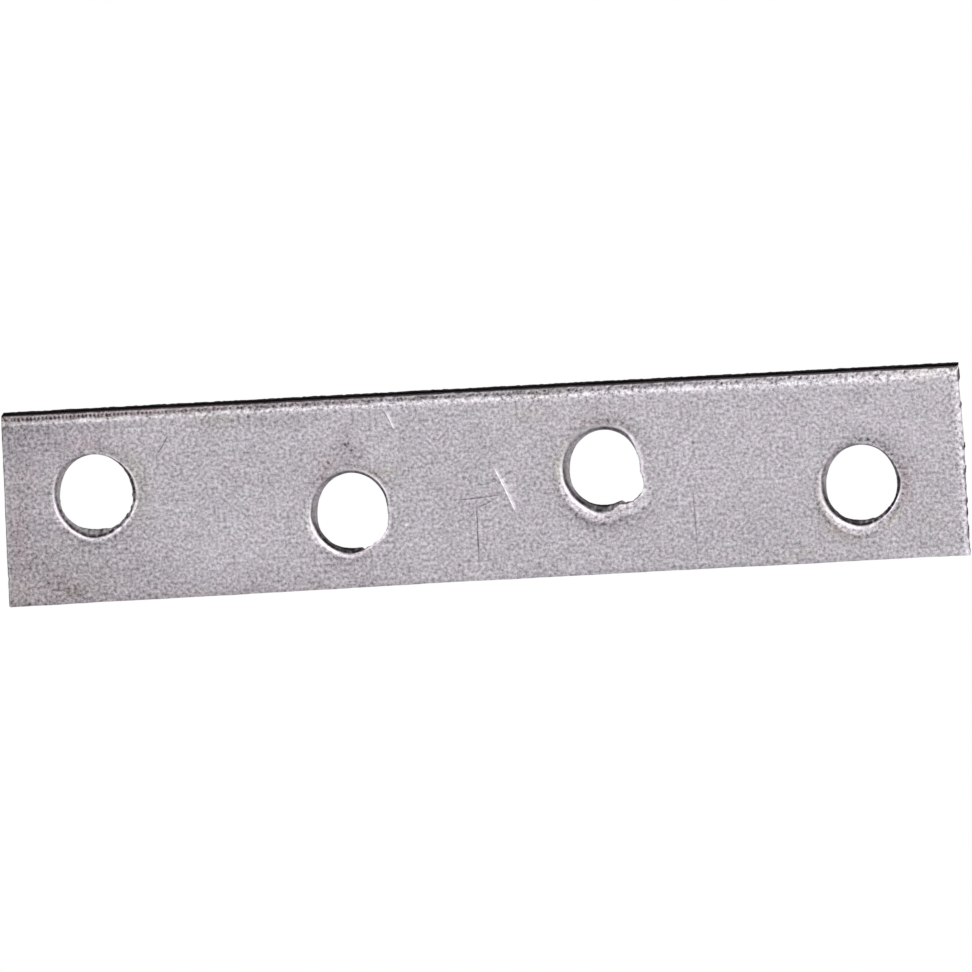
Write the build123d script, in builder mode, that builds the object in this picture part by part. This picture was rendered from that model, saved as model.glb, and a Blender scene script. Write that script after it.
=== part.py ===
from build123d import *
import math
import os

os.makedirs("parts", exist_ok=True)

# ---------------------------------------------------------------------------
# Flat mending plate, sheared from 1/2 inch zinc plated steel strip, with four
# staggered punched screw holes. One piece.
#
# Frame: origin at the centre of the underside's bounding rectangle, +X along
# the plate, +Y across it, +Z up, from the underside to the punched face.
# All lengths in millimetres, all angles in degrees.
# ---------------------------------------------------------------------------

# strip
LENGTH = 63.92            # overall, along the longer (-Y) long edge
WIDTH = 12.70             # half-inch strip
THICKNESS = 2.00

# the two ends are cropped slightly off square: each leans inward towards +Y
END_SKEW_LEFT = 1.16
END_SKEW_RIGHT = 0.26
CORNER_R = 0.20           # wear on the four upright corners

# slit long edges: the shear rolls one rim over and leaves the other crisp.
# +Y has its roll on the upper face, -Y has it on the underside.
EDGE_ROLL_W = 0.60        # how far the roll reaches in over the face
EDGE_ROLL_STEEP_W = 0.18  # part of that which is the steep outer curve
EDGE_ROLL_SLOPE = 35.0    # slope where the steep and the gentle curves meet

# cropped ends: +X has its roll on the upper face, -X on the underside
END_ROLL_W = 0.55
END_ROLL_STEEP_W = 0.15
END_ROLL_SLOPE = 28.0

CRISP_R = 0.08            # worn break on the crisp rims

# punched screw holes: centre x, centre y, width of the roll-over at the mouth
HOLE_R = 2.48             # burnished wall
HOLE_PITCH = 16.93
HOLE_X0 = -25.76
HOLES = [
    (HOLE_X0 + 0 * HOLE_PITCH, 0.88, 0.46),
    (HOLE_X0 + 1 * HOLE_PITCH, -1.29, 0.46),
    (HOLE_X0 + 2 * HOLE_PITCH, 0.67, 0.72),
    (HOLE_X0 + 3 * HOLE_PITCH, -1.24, 0.66),
]
HOLE_ROLL_STEEP_W = 0.18
HOLE_ROLL_SLOPE = 38.0
BREAKOUT_H = 0.62         # height of the torn, flared zone at the underside
BREAKOUT_FLARE = 0.07     # how much the radius grows over that height


def roll_depths(width, steep_w, slope):
    """Depth of the gentle and of the steep curve of a shear roll-over.

    Both are circular arcs that meet in a common tangent of the given slope:
    the gentle one ends level with the face, the steep one upright.
    """
    gentle = (width - steep_w) * math.tan(math.radians(slope / 2))
    steep = steep_w * math.tan(math.radians(45 + slope / 2))
    return gentle, steep


# depths of the three kinds of roll
EDGE_GENTLE_D, EDGE_STEEP_D = roll_depths(EDGE_ROLL_W, EDGE_ROLL_STEEP_W, EDGE_ROLL_SLOPE)
END_GENTLE_D, END_STEEP_D = roll_depths(END_ROLL_W, END_ROLL_STEEP_W, END_ROLL_SLOPE)

HALF_W = WIDTH / 2
HALF_L = LENGTH / 2
LEFT_IN = WIDTH * math.tan(math.radians(END_SKEW_LEFT))
RIGHT_IN = WIDTH * math.tan(math.radians(END_SKEW_RIGHT))

with BuildPart() as mending_plate:
    # plan outline: a strip whose ends are cropped a little off square
    with BuildSketch() as outline:
        with BuildLine():
            Polyline(
                (-HALF_L, -HALF_W),
                (HALF_L, -HALF_W),
                (HALF_L - RIGHT_IN, HALF_W),
                (-HALF_L + LEFT_IN, HALF_W),
                close=True,
            )
        make_face()
        fillet(outline.vertices(), radius=CORNER_R)
    extrude(amount=THICKNESS)

    # cross-section of the strip: upper roll at +Y, lower roll at -Y
    with BuildSketch(Plane.YZ) as section:
        with BuildLine():
            # upper rim at +Y: upright wall, steep curve, gentle curve
            y_wall = HALF_W
            z_top = THICKNESS
            p1 = (y_wall, z_top - EDGE_GENTLE_D - EDGE_STEEP_D)
            p2 = (y_wall - EDGE_ROLL_STEEP_W, z_top - EDGE_GENTLE_D)
            p3 = (y_wall - EDGE_ROLL_W, z_top)
            # lower rim at -Y is the same roll turned half a turn
            q1 = (-p1[0], z_top - p1[1])
            q2 = (-p2[0], z_top - p2[1])
            q3 = (-p3[0], z_top - p3[1])
            slope = math.radians(EDGE_ROLL_SLOPE)
            Line(q3, (y_wall - CRISP_R, 0))
            Line((y_wall - CRISP_R, 0), (y_wall, CRISP_R))
            Line((y_wall, CRISP_R), p1)
            TangentArc(p1, p2, tangent=(0, 1))
            TangentArc(p2, p3, tangent=(-math.cos(slope), math.sin(slope)))
            Line(p3, (-y_wall + CRISP_R, z_top))
            Line((-y_wall + CRISP_R, z_top), (-y_wall, z_top - CRISP_R))
            Line((-y_wall, z_top - CRISP_R), q1)
            TangentArc(q1, q2, tangent=(0, -1))
            TangentArc(q2, q3, tangent=(math.cos(slope), -math.sin(slope)))
        make_face()
    extrude(amount=HALF_L + 1, both=True, mode=Mode.INTERSECT)

    # roll on the upper rim of the +X end
    normal_r = Vector(math.cos(math.radians(END_SKEW_RIGHT)), math.sin(math.radians(END_SKEW_RIGHT)), 0)
    right_plane = Plane(
        origin=(HALF_L - RIGHT_IN / 2, 0, 0),
        x_dir=normal_r,
        z_dir=(normal_r.Y, -normal_r.X, 0),
    )
    end_slope = math.radians(END_ROLL_SLOPE)
    with BuildSketch(right_plane) as right_roll:
        with BuildLine():
            r1 = (0, THICKNESS - END_GENTLE_D - END_STEEP_D)
            r2 = (-END_ROLL_STEEP_W, THICKNESS - END_GENTLE_D)
            r3 = (-END_ROLL_W, THICKNESS)
            TangentArc(r1, r2, tangent=(0, 1))
            TangentArc(r2, r3, tangent=(-math.cos(end_slope), math.sin(end_slope)))
            Polyline(r3, (-END_ROLL_W, THICKNESS + 0.5), (0.5, THICKNESS + 0.5), (0.5, r1[1]), r1)
        make_face()
    extrude(amount=WIDTH, both=True, mode=Mode.SUBTRACT)

    # roll on the lower rim of the -X end
    normal_l = Vector(-math.cos(math.radians(END_SKEW_LEFT)), math.sin(math.radians(END_SKEW_LEFT)), 0)
    left_plane = Plane(
        origin=(-HALF_L + LEFT_IN / 2, 0, 0),
        x_dir=normal_l,
        z_dir=(normal_l.Y, -normal_l.X, 0),
    )
    with BuildSketch(left_plane) as left_roll:
        with BuildLine():
            l1 = (0, END_GENTLE_D + END_STEEP_D)
            l2 = (-END_ROLL_STEEP_W, END_GENTLE_D)
            l3 = (-END_ROLL_W, 0)
            TangentArc(l1, l2, tangent=(0, -1))
            TangentArc(l2, l3, tangent=(-math.cos(end_slope), -math.sin(end_slope)))
            Polyline(l3, (-END_ROLL_W, -0.5), (0.5, -0.5), (0.5, l1[1]), l1)
        make_face()
    extrude(amount=WIDTH, both=True, mode=Mode.SUBTRACT)

    # punched holes: rolled mouth, burnished wall, flared breakout
    hole_slope = math.radians(HOLE_ROLL_SLOPE)
    for hole_x, hole_y, roll_w in HOLES:
        gentle_d, steep_d = roll_depths(roll_w, HOLE_ROLL_STEEP_W, HOLE_ROLL_SLOPE)
        radial_plane = Plane(origin=(hole_x, hole_y, 0), x_dir=(1, 0, 0), z_dir=(0, -1, 0))
        with BuildSketch(radial_plane) as punch:
            with BuildLine():
                h1 = (HOLE_R, THICKNESS - gentle_d - steep_d)
                h2 = (HOLE_R + HOLE_ROLL_STEEP_W, THICKNESS - gentle_d)
                h3 = (HOLE_R + roll_w, THICKNESS)
                Polyline(
                    h3,
                    (HOLE_R + roll_w, THICKNESS + 0.5),
                    (0, THICKNESS + 0.5),
                    (0, -0.5),
                    (HOLE_R + BREAKOUT_FLARE, -0.5),
                    (HOLE_R + BREAKOUT_FLARE, 0),
                    (HOLE_R, BREAKOUT_H),
                    h1,
                )
                TangentArc(h1, h2, tangent=(0, 1))
                TangentArc(h2, h3, tangent=(math.cos(hole_slope), math.sin(hole_slope)))
            make_face()
        revolve(axis=Axis((hole_x, hole_y, 0), (0, 0, 1)), mode=Mode.SUBTRACT)

mending_plate.part.label = "mending_plate"
export_step(mending_plate.part, "parts/mending_plate.step")

box = mending_plate.part.bounding_box()
print("solids", len(mending_plate.part.solids()), "valid", mending_plate.part.is_valid)
print("box", box.min, box.max)
print("volume mm3", round(mending_plate.part.volume, 2))
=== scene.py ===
import math

import bpy
import numpy as np
from mathutils import Matrix, Vector
from mathutils.geometry import delaunay_2d_cdt


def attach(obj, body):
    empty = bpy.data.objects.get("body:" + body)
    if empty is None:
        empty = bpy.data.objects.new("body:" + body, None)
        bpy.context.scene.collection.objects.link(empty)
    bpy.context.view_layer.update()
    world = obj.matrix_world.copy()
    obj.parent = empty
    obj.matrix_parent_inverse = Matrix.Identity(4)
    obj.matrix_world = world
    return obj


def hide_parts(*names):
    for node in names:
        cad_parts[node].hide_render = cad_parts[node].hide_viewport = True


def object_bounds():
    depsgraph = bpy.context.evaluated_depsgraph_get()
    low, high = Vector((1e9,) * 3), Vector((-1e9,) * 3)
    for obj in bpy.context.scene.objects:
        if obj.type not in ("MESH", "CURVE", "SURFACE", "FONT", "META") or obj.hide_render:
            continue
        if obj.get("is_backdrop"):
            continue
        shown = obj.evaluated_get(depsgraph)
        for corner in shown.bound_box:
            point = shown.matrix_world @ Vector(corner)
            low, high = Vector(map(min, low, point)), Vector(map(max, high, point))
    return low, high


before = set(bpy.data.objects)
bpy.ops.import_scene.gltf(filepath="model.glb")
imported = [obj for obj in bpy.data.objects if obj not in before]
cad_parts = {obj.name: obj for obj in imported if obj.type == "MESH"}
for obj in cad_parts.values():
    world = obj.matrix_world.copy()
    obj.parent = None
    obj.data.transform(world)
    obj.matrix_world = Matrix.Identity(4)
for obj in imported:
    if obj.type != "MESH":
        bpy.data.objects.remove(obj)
cad_lo, cad_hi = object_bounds()

# ---------------------------------------------------------------------------
# Zinc plated mending plate. Lengths below are millimetres until the mesh is
# made: x along the plate, y across it, z up from the underside.
# ---------------------------------------------------------------------------
MM = 0.001
T = (cad_hi.z - cad_lo.z) / MM


# ---------------------------------------------------------------- small maths
def smooth(t):
    t = np.clip(t, 0.0, 1.0)
    return t * t * (3 - 2 * t)


def ramp(a, b, x):
    return smooth((np.asarray(x, float) - a) / (b - a))


def gauss(x, c, w):
    return np.exp(-(((np.asarray(x, float) - c) / w) ** 2))


def blob(x, y, cx, cy, wx, wy, turn=0.0):
    """An oval soft spot, 1 at its centre, turned by so many degrees."""
    t = math.radians(turn)
    dx, dy = np.asarray(x, float) - cx, np.asarray(y, float) - cy
    u, v = dx * math.cos(t) + dy * math.sin(t), -dx * math.sin(t) + dy * math.cos(t)
    return np.exp(-((u / wx) ** 2) - (v / wy) ** 2)


class Lattice:
    """Seeded smooth value noise, about -1 to 1."""

    def __init__(self, seed, n=512):
        self.t = np.random.default_rng(seed).uniform(-1, 1, (n, n))
        self.n = n

    def __call__(self, x, y, size, size_y=None):
        u = np.asarray(x, float) / size + 4096.0
        v = np.asarray(y, float) / (size_y or size) + 4096.0
        i, j = np.floor(u).astype(int), np.floor(v).astype(int)
        fu, fv = smooth(u - i), smooth(v - j)
        n, t = self.n, self.t
        a, b = t[i % n, j % n], t[(i + 1) % n, j % n]
        c, d = t[i % n, (j + 1) % n], t[(i + 1) % n, (j + 1) % n]
        return (a * (1 - fu) + b * fu) * (1 - fv) + (c * (1 - fu) + d * fu) * fv


n1, n2, n3, n4 = Lattice(11), Lattice(23), Lattice(37), Lattice(51)


def along(x, y, line):
    """Distance of points from a polyline, signed by side, and how far along it they are."""
    x, y = np.asarray(x, float), np.asarray(y, float)
    best, side, where, start = np.full(x.shape, 1e9), np.zeros(x.shape), np.zeros(x.shape), 0.0
    for (ax, ay), (bx, by) in zip(line[:-1], line[1:]):
        dx, dy = bx - ax, by - ay
        ln = math.hypot(dx, dy)
        u = np.clip(((x - ax) * dx + (y - ay) * dy) / ln**2, 0, 1)
        px, py = x - ax - u * dx, y - ay - u * dy
        d = np.hypot(px, py)
        near = d < best
        best = np.where(near, d, best)
        side = np.where(near, np.sign(dx * py - dy * px), side)
        where = np.where(near, start + u * ln, where)
        start += ln
    return best * side, where, start


# ------------------------------------------------------------------- outline
# the four sides as lines: y = a + b x for the long edges, x = a + b y for the ends
TOP_A, TOP_B = 6.317, -0.00120
BOT_A, BOT_B = -6.354, 0.00125
LEFT_A, LEFT_B = -31.780, 0.0234
RIGHT_A, RIGHT_B = 31.955, -0.0068


def cross(end_a, end_b, edge_a, edge_b):
    y = (edge_b * end_a + edge_a) / (1 - edge_b * end_b)
    return np.array([end_a + end_b * y, y])


BL = cross(LEFT_A, LEFT_B, BOT_A, BOT_B)
BR = cross(RIGHT_A, RIGHT_B, BOT_A, BOT_B)
TR = cross(RIGHT_A, RIGHT_B, TOP_A, TOP_B)
TL = cross(LEFT_A, LEFT_B, TOP_A, TOP_B)
CORNERS = [BL, BR, TR, TL]
SIDES = ["bottom", "right", "top", "left"]      # side i runs from corner i to corner i + 1
CORNER_R = [0.14, 0.05, 0.04, 0.03]             # wear on each upright corner
SIDE_N = {"bottom": 520, "right": 170, "top": 1090, "left": 130}
ARC_N = 8


def side_gap(side, x, y):
    """How far inside one side's line a point is."""
    if side == "bottom":
        return (y - BOT_A - BOT_B * x) / math.hypot(1, BOT_B)
    if side == "top":
        return (TOP_A + TOP_B * x - y) / math.hypot(1, TOP_B)
    if side == "left":
        return (x - LEFT_A - LEFT_B * y) / math.hypot(1, LEFT_B)
    return (RIGHT_A + RIGHT_B * y - x) / math.hypot(1, RIGHT_B)


def roll_drop(s, w, a, slope):
    """Depth below the face at inset s of a sheared rim: a gentle arc, then a steep one that ends upright."""
    s = np.asarray(s, float)
    w, a, slope = np.broadcast_to(w, s.shape), np.broadcast_to(a, s.shape), np.radians(np.broadcast_to(slope, s.shape))
    rg = (w - a) / np.sin(slope)
    gentle = rg - np.sqrt(np.maximum(rg**2 - np.clip(w - s, 0, w - a) ** 2, 0))
    rs = a / (1 - np.sin(slope))
    sphi = np.clip(1 - s / rs, 0, 1)
    steep = rs * (np.cos(slope) - np.sqrt(np.maximum(1 - sphi**2, 0)))
    return gentle + np.where(s < a, np.maximum(steep, 0), 0)


# tilt of the +Y roll, from its steep part (0) to where it meets the face (1): steady at first, then quickly level
ROLL_U = np.linspace(0, 1, 201)
ROLL_TILT = np.interp(ROLL_U, (0, 0.30, 0.50, 0.66, 0.80, 0.92, 1.0), (33, 32, 29, 23, 13, 4, 0))
ROLL_D = np.cumsum(np.tan(np.radians(ROLL_TILT))[::-1])[::-1] / 201

# torn teeth in the crease along the +Y roll, darkened with painted shade: one every 0.265 mm
PITCH_TEETH = 0.265


def teeth(t, s):
    """How much of a tooth there is at place t along the +Y side and inset s."""
    t = np.asarray(t, float)
    k = np.round(t / PITCH_TEETH)
    live = np.interp(t, (-32, -31.3, -30.6, -25, -20, -12, 5, 26, 28.5, 29.5), (0, 0, 1.30, 1.30, 1.15, 1.0, 1.0, 1.1, 1.0, 0.1))
    sure = np.interp(t, (-32, -25, -20, -15, 5, 32), (0.95, 0.90, 0.70, 0.50, 0.35, 0.25))
    strength = np.clip(sure + (1.05 - 0.6 * sure) * n3(k * 1.7, 0.5, 1.0), 0.0, 1.2) * live
    jx, js = 0.045 * n4(k * 2.3, 3.5, 1.0), (0.03 + 0.03 * ramp(-10, 10, t)) * n4(k * 2.9, 8.5, 1.0)
    tall = np.interp(t, (-32, -25, -20, 30), (0.115, 0.115, 0.085, 0.085))
    at = np.interp(t, (-32, 5, 30), (0.27, 0.27, 0.21))
    return strength * np.exp(-(((t - k * PITCH_TEETH - jx) / 0.070) ** 2) - (((s - at - js) / tall) ** 2))


def side_drop(side, s, t):
    """Depth of one side's upper rim at inset s; t is the coordinate along that side."""
    if side == "top":
        w = 0.78 + 0.03 * n1(t, 3.0, 2.3) + 0.04 * ramp(-18, 2, t) + 0.05 * ramp(8, 20, t) + 0.06 * ramp(20, 26, t) - 0.15 * ramp(27, 31, t)
        a = 0.040 + 0.008 * n1(t, 9.0, 1.1)
        d = (w - a) * np.interp(np.clip((s - a) / (w - a), 0, 1), ROLL_U, ROLL_D)
        d = d * (1 + 0.05 * n2(t, 5.0, 0.9)) * np.interp(t, (-32, -20, 5, 24, 30, 32), (0.93, 1.0, 1.0, 0.84, 0.72, 0.60))
        rs = a / (1 - math.sin(math.radians(33)))
        sphi = np.clip(1 - np.asarray(s, float) / rs, 0, 1)
        steep = rs * (math.cos(math.radians(33)) - np.sqrt(np.maximum(1 - sphi**2, 0)))
        d = d + np.where(s < a, np.maximum(steep, 0), 0)
        d = d + 0.040 * teeth(t, s)
        # hammered unevenness of the bright ridge
        d = d + 0.009 * n2(t, s * 3 + 2, 0.16, 0.4) * gauss(s, 0.55, 0.20)
        return d
    if side == "right":
        w = 0.44 + 0.10 * n1(t, 14.0, 1.3) + 0.12 * gauss(t, 0.6, 1.6)
        a = 0.014 + 0.006 * n1(t, 17.0, 0.5)
        return roll_drop(s, w, a, 27 + 4 * n2(t, 7.0, 0.8)) + 0.010 * n3(t, s * 2, 0.24, 0.5) * gauss(s, 0.25, 0.25)
    if side == "bottom":
        w = 0.34 + 0.05 * n1(t, 21.0, 0.8) - 0.08 * ramp(16, 28, t)
        a = 0.016 + 0.008 * n1(t, 25.0, 0.35)
        return roll_drop(s, w, a, (15 + 3 * n2(t, 27.0, 1.5)) * (1 - 0.6 * ramp(14, 28, t)))
    w = 0.13 + 0.03 * n1(t, 31.0, 0.7)
    return roll_drop(s, w, 0.045 + 0.015 * n1(t, 33.0, 0.4), 30)


def side_floor(side, t):
    """Height of the underside's rim roll at the wall, and how far it reaches in."""
    if side == "bottom":
        return 0.42 + 0.03 * n2(t, 41.0, 1.2), 0.60
    if side == "left":
        live = 1 - ramp(4.6, 6.0, t)
        return 0.06 + (0.28 + 0.03 * n2(t, 43.0, 1.2)) * live, 0.10 + 0.45 * live
    return 0.07 + 0.02 * n2(t, 45.0, 0.4), 0.10


# torn burrs on the +X end's wall: centre y, half length, how dark
DASHES = [(5.62, 0.36, 1.0), (3.56, 0.08, 0.9), (2.55, 0.08, 0.25), (1.70, 0.10, 0.3), (0.78, 0.13, 1.0),
          (0.10, 0.10, 0.5), (-0.80, 0.18, 1.0), (-1.50, 0.10, 0.55), (-1.95, 0.14, 0.7), (-2.88, 0.16, 0.9),
          (-3.65, 0.20, 0.9), (-4.35, 0.10, 0.4), (-4.95, 0.34, 0.8), (-5.80, 0.16, 0.7)]


def burr(y):
    b = np.zeros(np.shape(y))
    for c, h, k in DASHES:
        b = np.maximum(b, k * (1 - ramp(h, h + 0.07, np.abs(np.asarray(y) - c))))
    return b


# --------------------------------------------------------------------- holes
def by_hour(table, theta):
    """Reads a 12-value clock table (12, 1, 2 ... 11 o'clock as the plate lies before the camera) at an angle."""
    hour = ((90 - 3.08 - np.degrees(theta)) / 30.0) % 12
    i = np.floor(hour).astype(int) % 12
    f = hour - np.floor(hour)
    tb = np.asarray(table, float)
    p0, p1, p2, p3 = tb[(i - 1) % 12], tb[i], tb[(i + 1) % 12], tb[(i + 2) % 12]
    v = p1 + 0.5 * f * (p2 - p0 + f * (2 * p0 - 5 * p1 + 4 * p2 - p3 + f * (3 * (p1 - p2) + p3 - p0)))
    return np.clip(v, tb.min(), tb.max())


# centre and half axes of the throat, then by the hour: o how far the throat wanders outwards,
# a width of the steep part of the mouth's roll, b width of the whole roll, s slope where the two
# meet, t height of the torn zone at the underside, f its flare, m how matt the wall is, k painted shade
# in the step under the mouth, p painted highlight on the roll, q darker ring round the mouth,
# v painted shade down the wall, u how ragged all of it is, w how far a shallow dished ring goes on beyond the roll.
# nick: places where the throat bulges outwards (hour, half width, amount);
# tear: where the lower wall broke away, sharply at the first hour and easing off by the second
HOLES = [
    dict(c=(-25.741, 0.873), r=(2.407, 2.570), dish=0.012,
         o=[0.02, 0.03, 0, 0.06, 0.13, 0.03, 0.07, 0.05, 0.08, -0.02, -0.08, -0.05],
         a=[0.04, 0.08, 0.22, 0.24, 0.14, 0.22, 0.32, 0.28, 0.18, 0.28, 0.35, 0.17],
         b=[0.3, 0.22, 0.46, 0.5, 0.4, 0.46, 0.6, 0.55, 0.5, 0.5, 0.58, 0.34],
         s=[26, 30, 34, 34, 36, 38, 38, 38, 38, 36, 30, 26],
         t=[.70, .70, .70, .70, .80, 1.25, .70, 1.30, 1.45, .80, .60, .60],
         f=[.06, .06, .06, .06, .08, .12, .02, .21, .22, .08, .05, .05],
         m=[0.8, 0.3, 0, 0, 0.8, 0.85, 0.75, 1, 1, 1, 0.85, 0.9],
         k=[0, 0.2, 0.8, 0.75, 0.3, 0.6, 1, 1, 0.4, 0.35, 0.1, 0],
         p=[0, 1, 1, 0.9, 0.8, 0.45, 0.35, 1, 1, 0.7, 0.5, 0.1],
         q=[0.4, 0.9, 0.2, 0.2, 0.4, 0.6, 0.8, 0.7, 0.5, 0.3, 0.1, 0.3],
         u=[0.2, 0.3, 0.5, 0.8, 1, 1, 0.9, 0.2, 0.5, 0.3, 0.2, 0.2],
         w=[0, 0, 0, 0, 0, 0, 0, 0, 0.12, 0.06, 0, 0],
         v=[0, 0, 0, 0, 0, 0.1, 0.35, 0.45, 0.15, 0, 0, 0],
         nick=[], tear=[(5.5, 4.8, 0.08)]),
    dict(c=(-8.780, -1.300), r=(2.375, 2.576), dish=0.012,
         o=[0, 0, 0, 0.02, 0.18, 0.05, 0.07, 0.03, 0.06, -0.03, -0.07, -0.04],
         a=[0.2, 0.21, 0.18, 0.02, 0.01, 0.01, 0.12, 0.22, 0.22, 0.37, 0.36, 0.23],
         b=[0.4, 0.38, 0.38, 0.3, 0.24, 0.2, 0.46, 0.52, 0.54, 0.56, 0.62, 0.44],
         s=[26, 24, 26, 30, 28, 20, 38, 38, 38, 36, 30, 28],
         t=[.66, .66, .66, .66, .80, 1.30, .70, 1.40, 1.50, .80, .60, .60],
         f=[.06, .06, .06, .05, .07, .11, .03, .22, .22, .08, .05, .06],
         m=[0.4, 0.2, 0, 0.5, 0.9, 1, 0.1, 0, 0.3, 0.7, 0.75, 0.7],
         k=[0.3, 0.3, 0.5, 0, 0, 0, 0.8, 1, 0.8, 0.35, 0, 0.3],
         p=[1.1, 1.2, 0.8, 0.1, 0.5, 0, 0.5, 1, 1, 0.8, 0.8, 0.5],
         q=[0.9, 1.4, 0.1, 0, 0.2, 0.2, 0.6, 0.6, 0.1, 0, 0, 0.4],
         u=[0.2, 0.2, 0.2, 0.4, 0.7, 0.9, 0.5, 0.2, 0.2, 0.2, 0.2, 0.2],
         w=[0, 0, 0, 0, 0, 0, 0, 0.05, 0.22, 0.2, 0, 0],
         v=[0, 0, 0, 0, 0, 0.1, 0.6, 0.95, 0.6, 0, 0, 0],
         nick=[], tear=[(5.55, 4.2, 0.16)]),
    dict(c=(8.126, 0.658), r=(2.376, 2.564), dish=0.014,
         o=[0, 0, 0, -0.01, 0, -0.08, 0.05, 0.02, 0.04, -0.03, -0.06, -0.04],
         a=[0.25, 0.31, 0.03, 0.02, 0.01, 0.1, 0.31, 0.3, 0.31, 0.42, 0.4, 0.27],
         b=[0.54, 0.6, 0.54, 0.36, 0.34, 0.5, 0.66, 0.64, 0.62, 0.7, 0.7, 0.58],
         s=[26, 26, 26, 30, 24, 18, 30, 32, 32, 32, 30, 28],
         t=[.66, .66, .66, .66, .80, 1.10, .70, 1.25, 1.30, .80, .60, .60],
         f=[.06, .06, .05, .05, .05, .09, .04, .20, .20, .07, .05, .06],
         m=[0.3, 0.3, 0.6, 0.8, 0.9, 1, 0.3, 0, 0.95, 0.75, 0.8, 0.9],
         k=[0.5, 0.4, 0, 0, 0, 0.35, 0.55, 0.9, 0.8, 0.7, 0.1, 0.2],
         p=[1.1, 1.2, 0.6, 0.8, 0.3, 0, 0.2, 0.7, 0.9, 0.9, 0.7, 0.7],
         q=[0.8, 0.7, 0.1, 0.1, 0.6, 1.6, 1.4, 1.7, 1.5, 0.3, 0, 0.8],
         u=[0.2, 0.2, 0.3, 0.5, 0.6, 0.9, 0.5, 0.2, 0.2, 0.2, 0.2, 0.2],
         w=[0.05, 0, 0, 0, 0.36, 0.34, 0.3, 0.24, 0.2, 0.1, 0, 0],
         v=[0.1, 0.1, 0, 0, 0, 0.5, 1, 1, 0.55, 0, 0, 0],
         nick=[(4.20, 1.05, 0.50)], tear=[(5.12, 4.5, 0.16)]),
    dict(c=(25.005, -1.248), r=(2.344, 2.563), dish=0.014,
         o=[0.03, 0.08, 0.05, 0.06, 0.06, 0.03, 0.06, 0.03, 0.04, -0.04, -0.08, -0.05],
         a=[0.05, 0.1, 0.18, 0.23, 0.14, 0.15, 0.18, 0.18, 0.2, 0.27, 0.31, 0.18],
         b=[0.26, 0.26, 0.32, 0.43, 0.25, 0.34, 0.56, 0.55, 0.54, 0.52, 0.54, 0.42],
         s=[26, 28, 30, 32, 26, 26, 34, 35, 35, 33, 30, 26],
         t=[.66, .66, .66, .66, .66, .70, .70, 1.40, 1.30, .80, .60, .60],
         f=[.06, .06, .05, .05, .05, .05, .04, .22, .18, .07, .05, .06],
         m=[0.8, 0.8, 0.5, 0.1, 0, 0, 0.2, 0, 0.3, 0.9, 0.8, 1],
         k=[0, 0.1, 0.4, 0.8, 1, 0.8, 0.9, 1, 0.9, 0.5, 0.1, 0],
         p=[0, 0.1, 0.1, 0.4, 1.3, 0.1, 0.8, 0.9, 1, 0.7, 0.5, 0],
         q=[1.3, 1.2, 0.8, 0.3, 0.3, 0.5, 0.8, 1.2, 1.6, 0.9, 0.5, 0.4],
         u=[0.2, 0.2, 0.2, 0.3, 0.3, 0.7, 0.5, 0.2, 0.2, 0.2, 0.2, 0.2],
         w=[0, 0, 0, 0, 0, 0.2, 0.22, 0.17, 0.05, 0.05, 0, 0],
         v=[0, 0, 0, 0, 0.2, 0.3, 0.3, 0.3, 0.1, 0, 0, 0],
         nick=[], tear=[(5.40, 5.0, 0.06)]),
]
HOLE_N = 250
DISH_W = 1.5


def clock(theta):
    return ((90 - 3.08 - np.degrees(theta)) / 30.0) % 12


def throat(h, theta):
    rx, ry = h["r"]
    out = by_hour(h["o"], theta)
    for hour, half, amount in h["nick"]:
        gap = (clock(theta) - hour + 6) % 12 - 6
        out = out + amount * np.cos(math.pi / 2 * np.clip(gap / half, -1, 1))
    return 1 / np.sqrt((np.cos(theta) / rx) ** 2 + (np.sin(theta) / ry) ** 2) + out


def torn_away(h, theta):
    hour = clock(theta)
    out = np.zeros(np.shape(theta))
    for first, second, amount in h["tear"]:
        out = out + amount * ramp(first + 0.07, first - 0.05, hour) * ramp(second - 0.30, second + 0.30, hour)
    return out


def hole_polar(h, x, y):
    dx, dy = np.asarray(x, float) - h["c"][0], np.asarray(y, float) - h["c"][1]
    th = np.arctan2(dy, dx)
    return np.hypot(dx, dy) - throat(h, th), th


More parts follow.
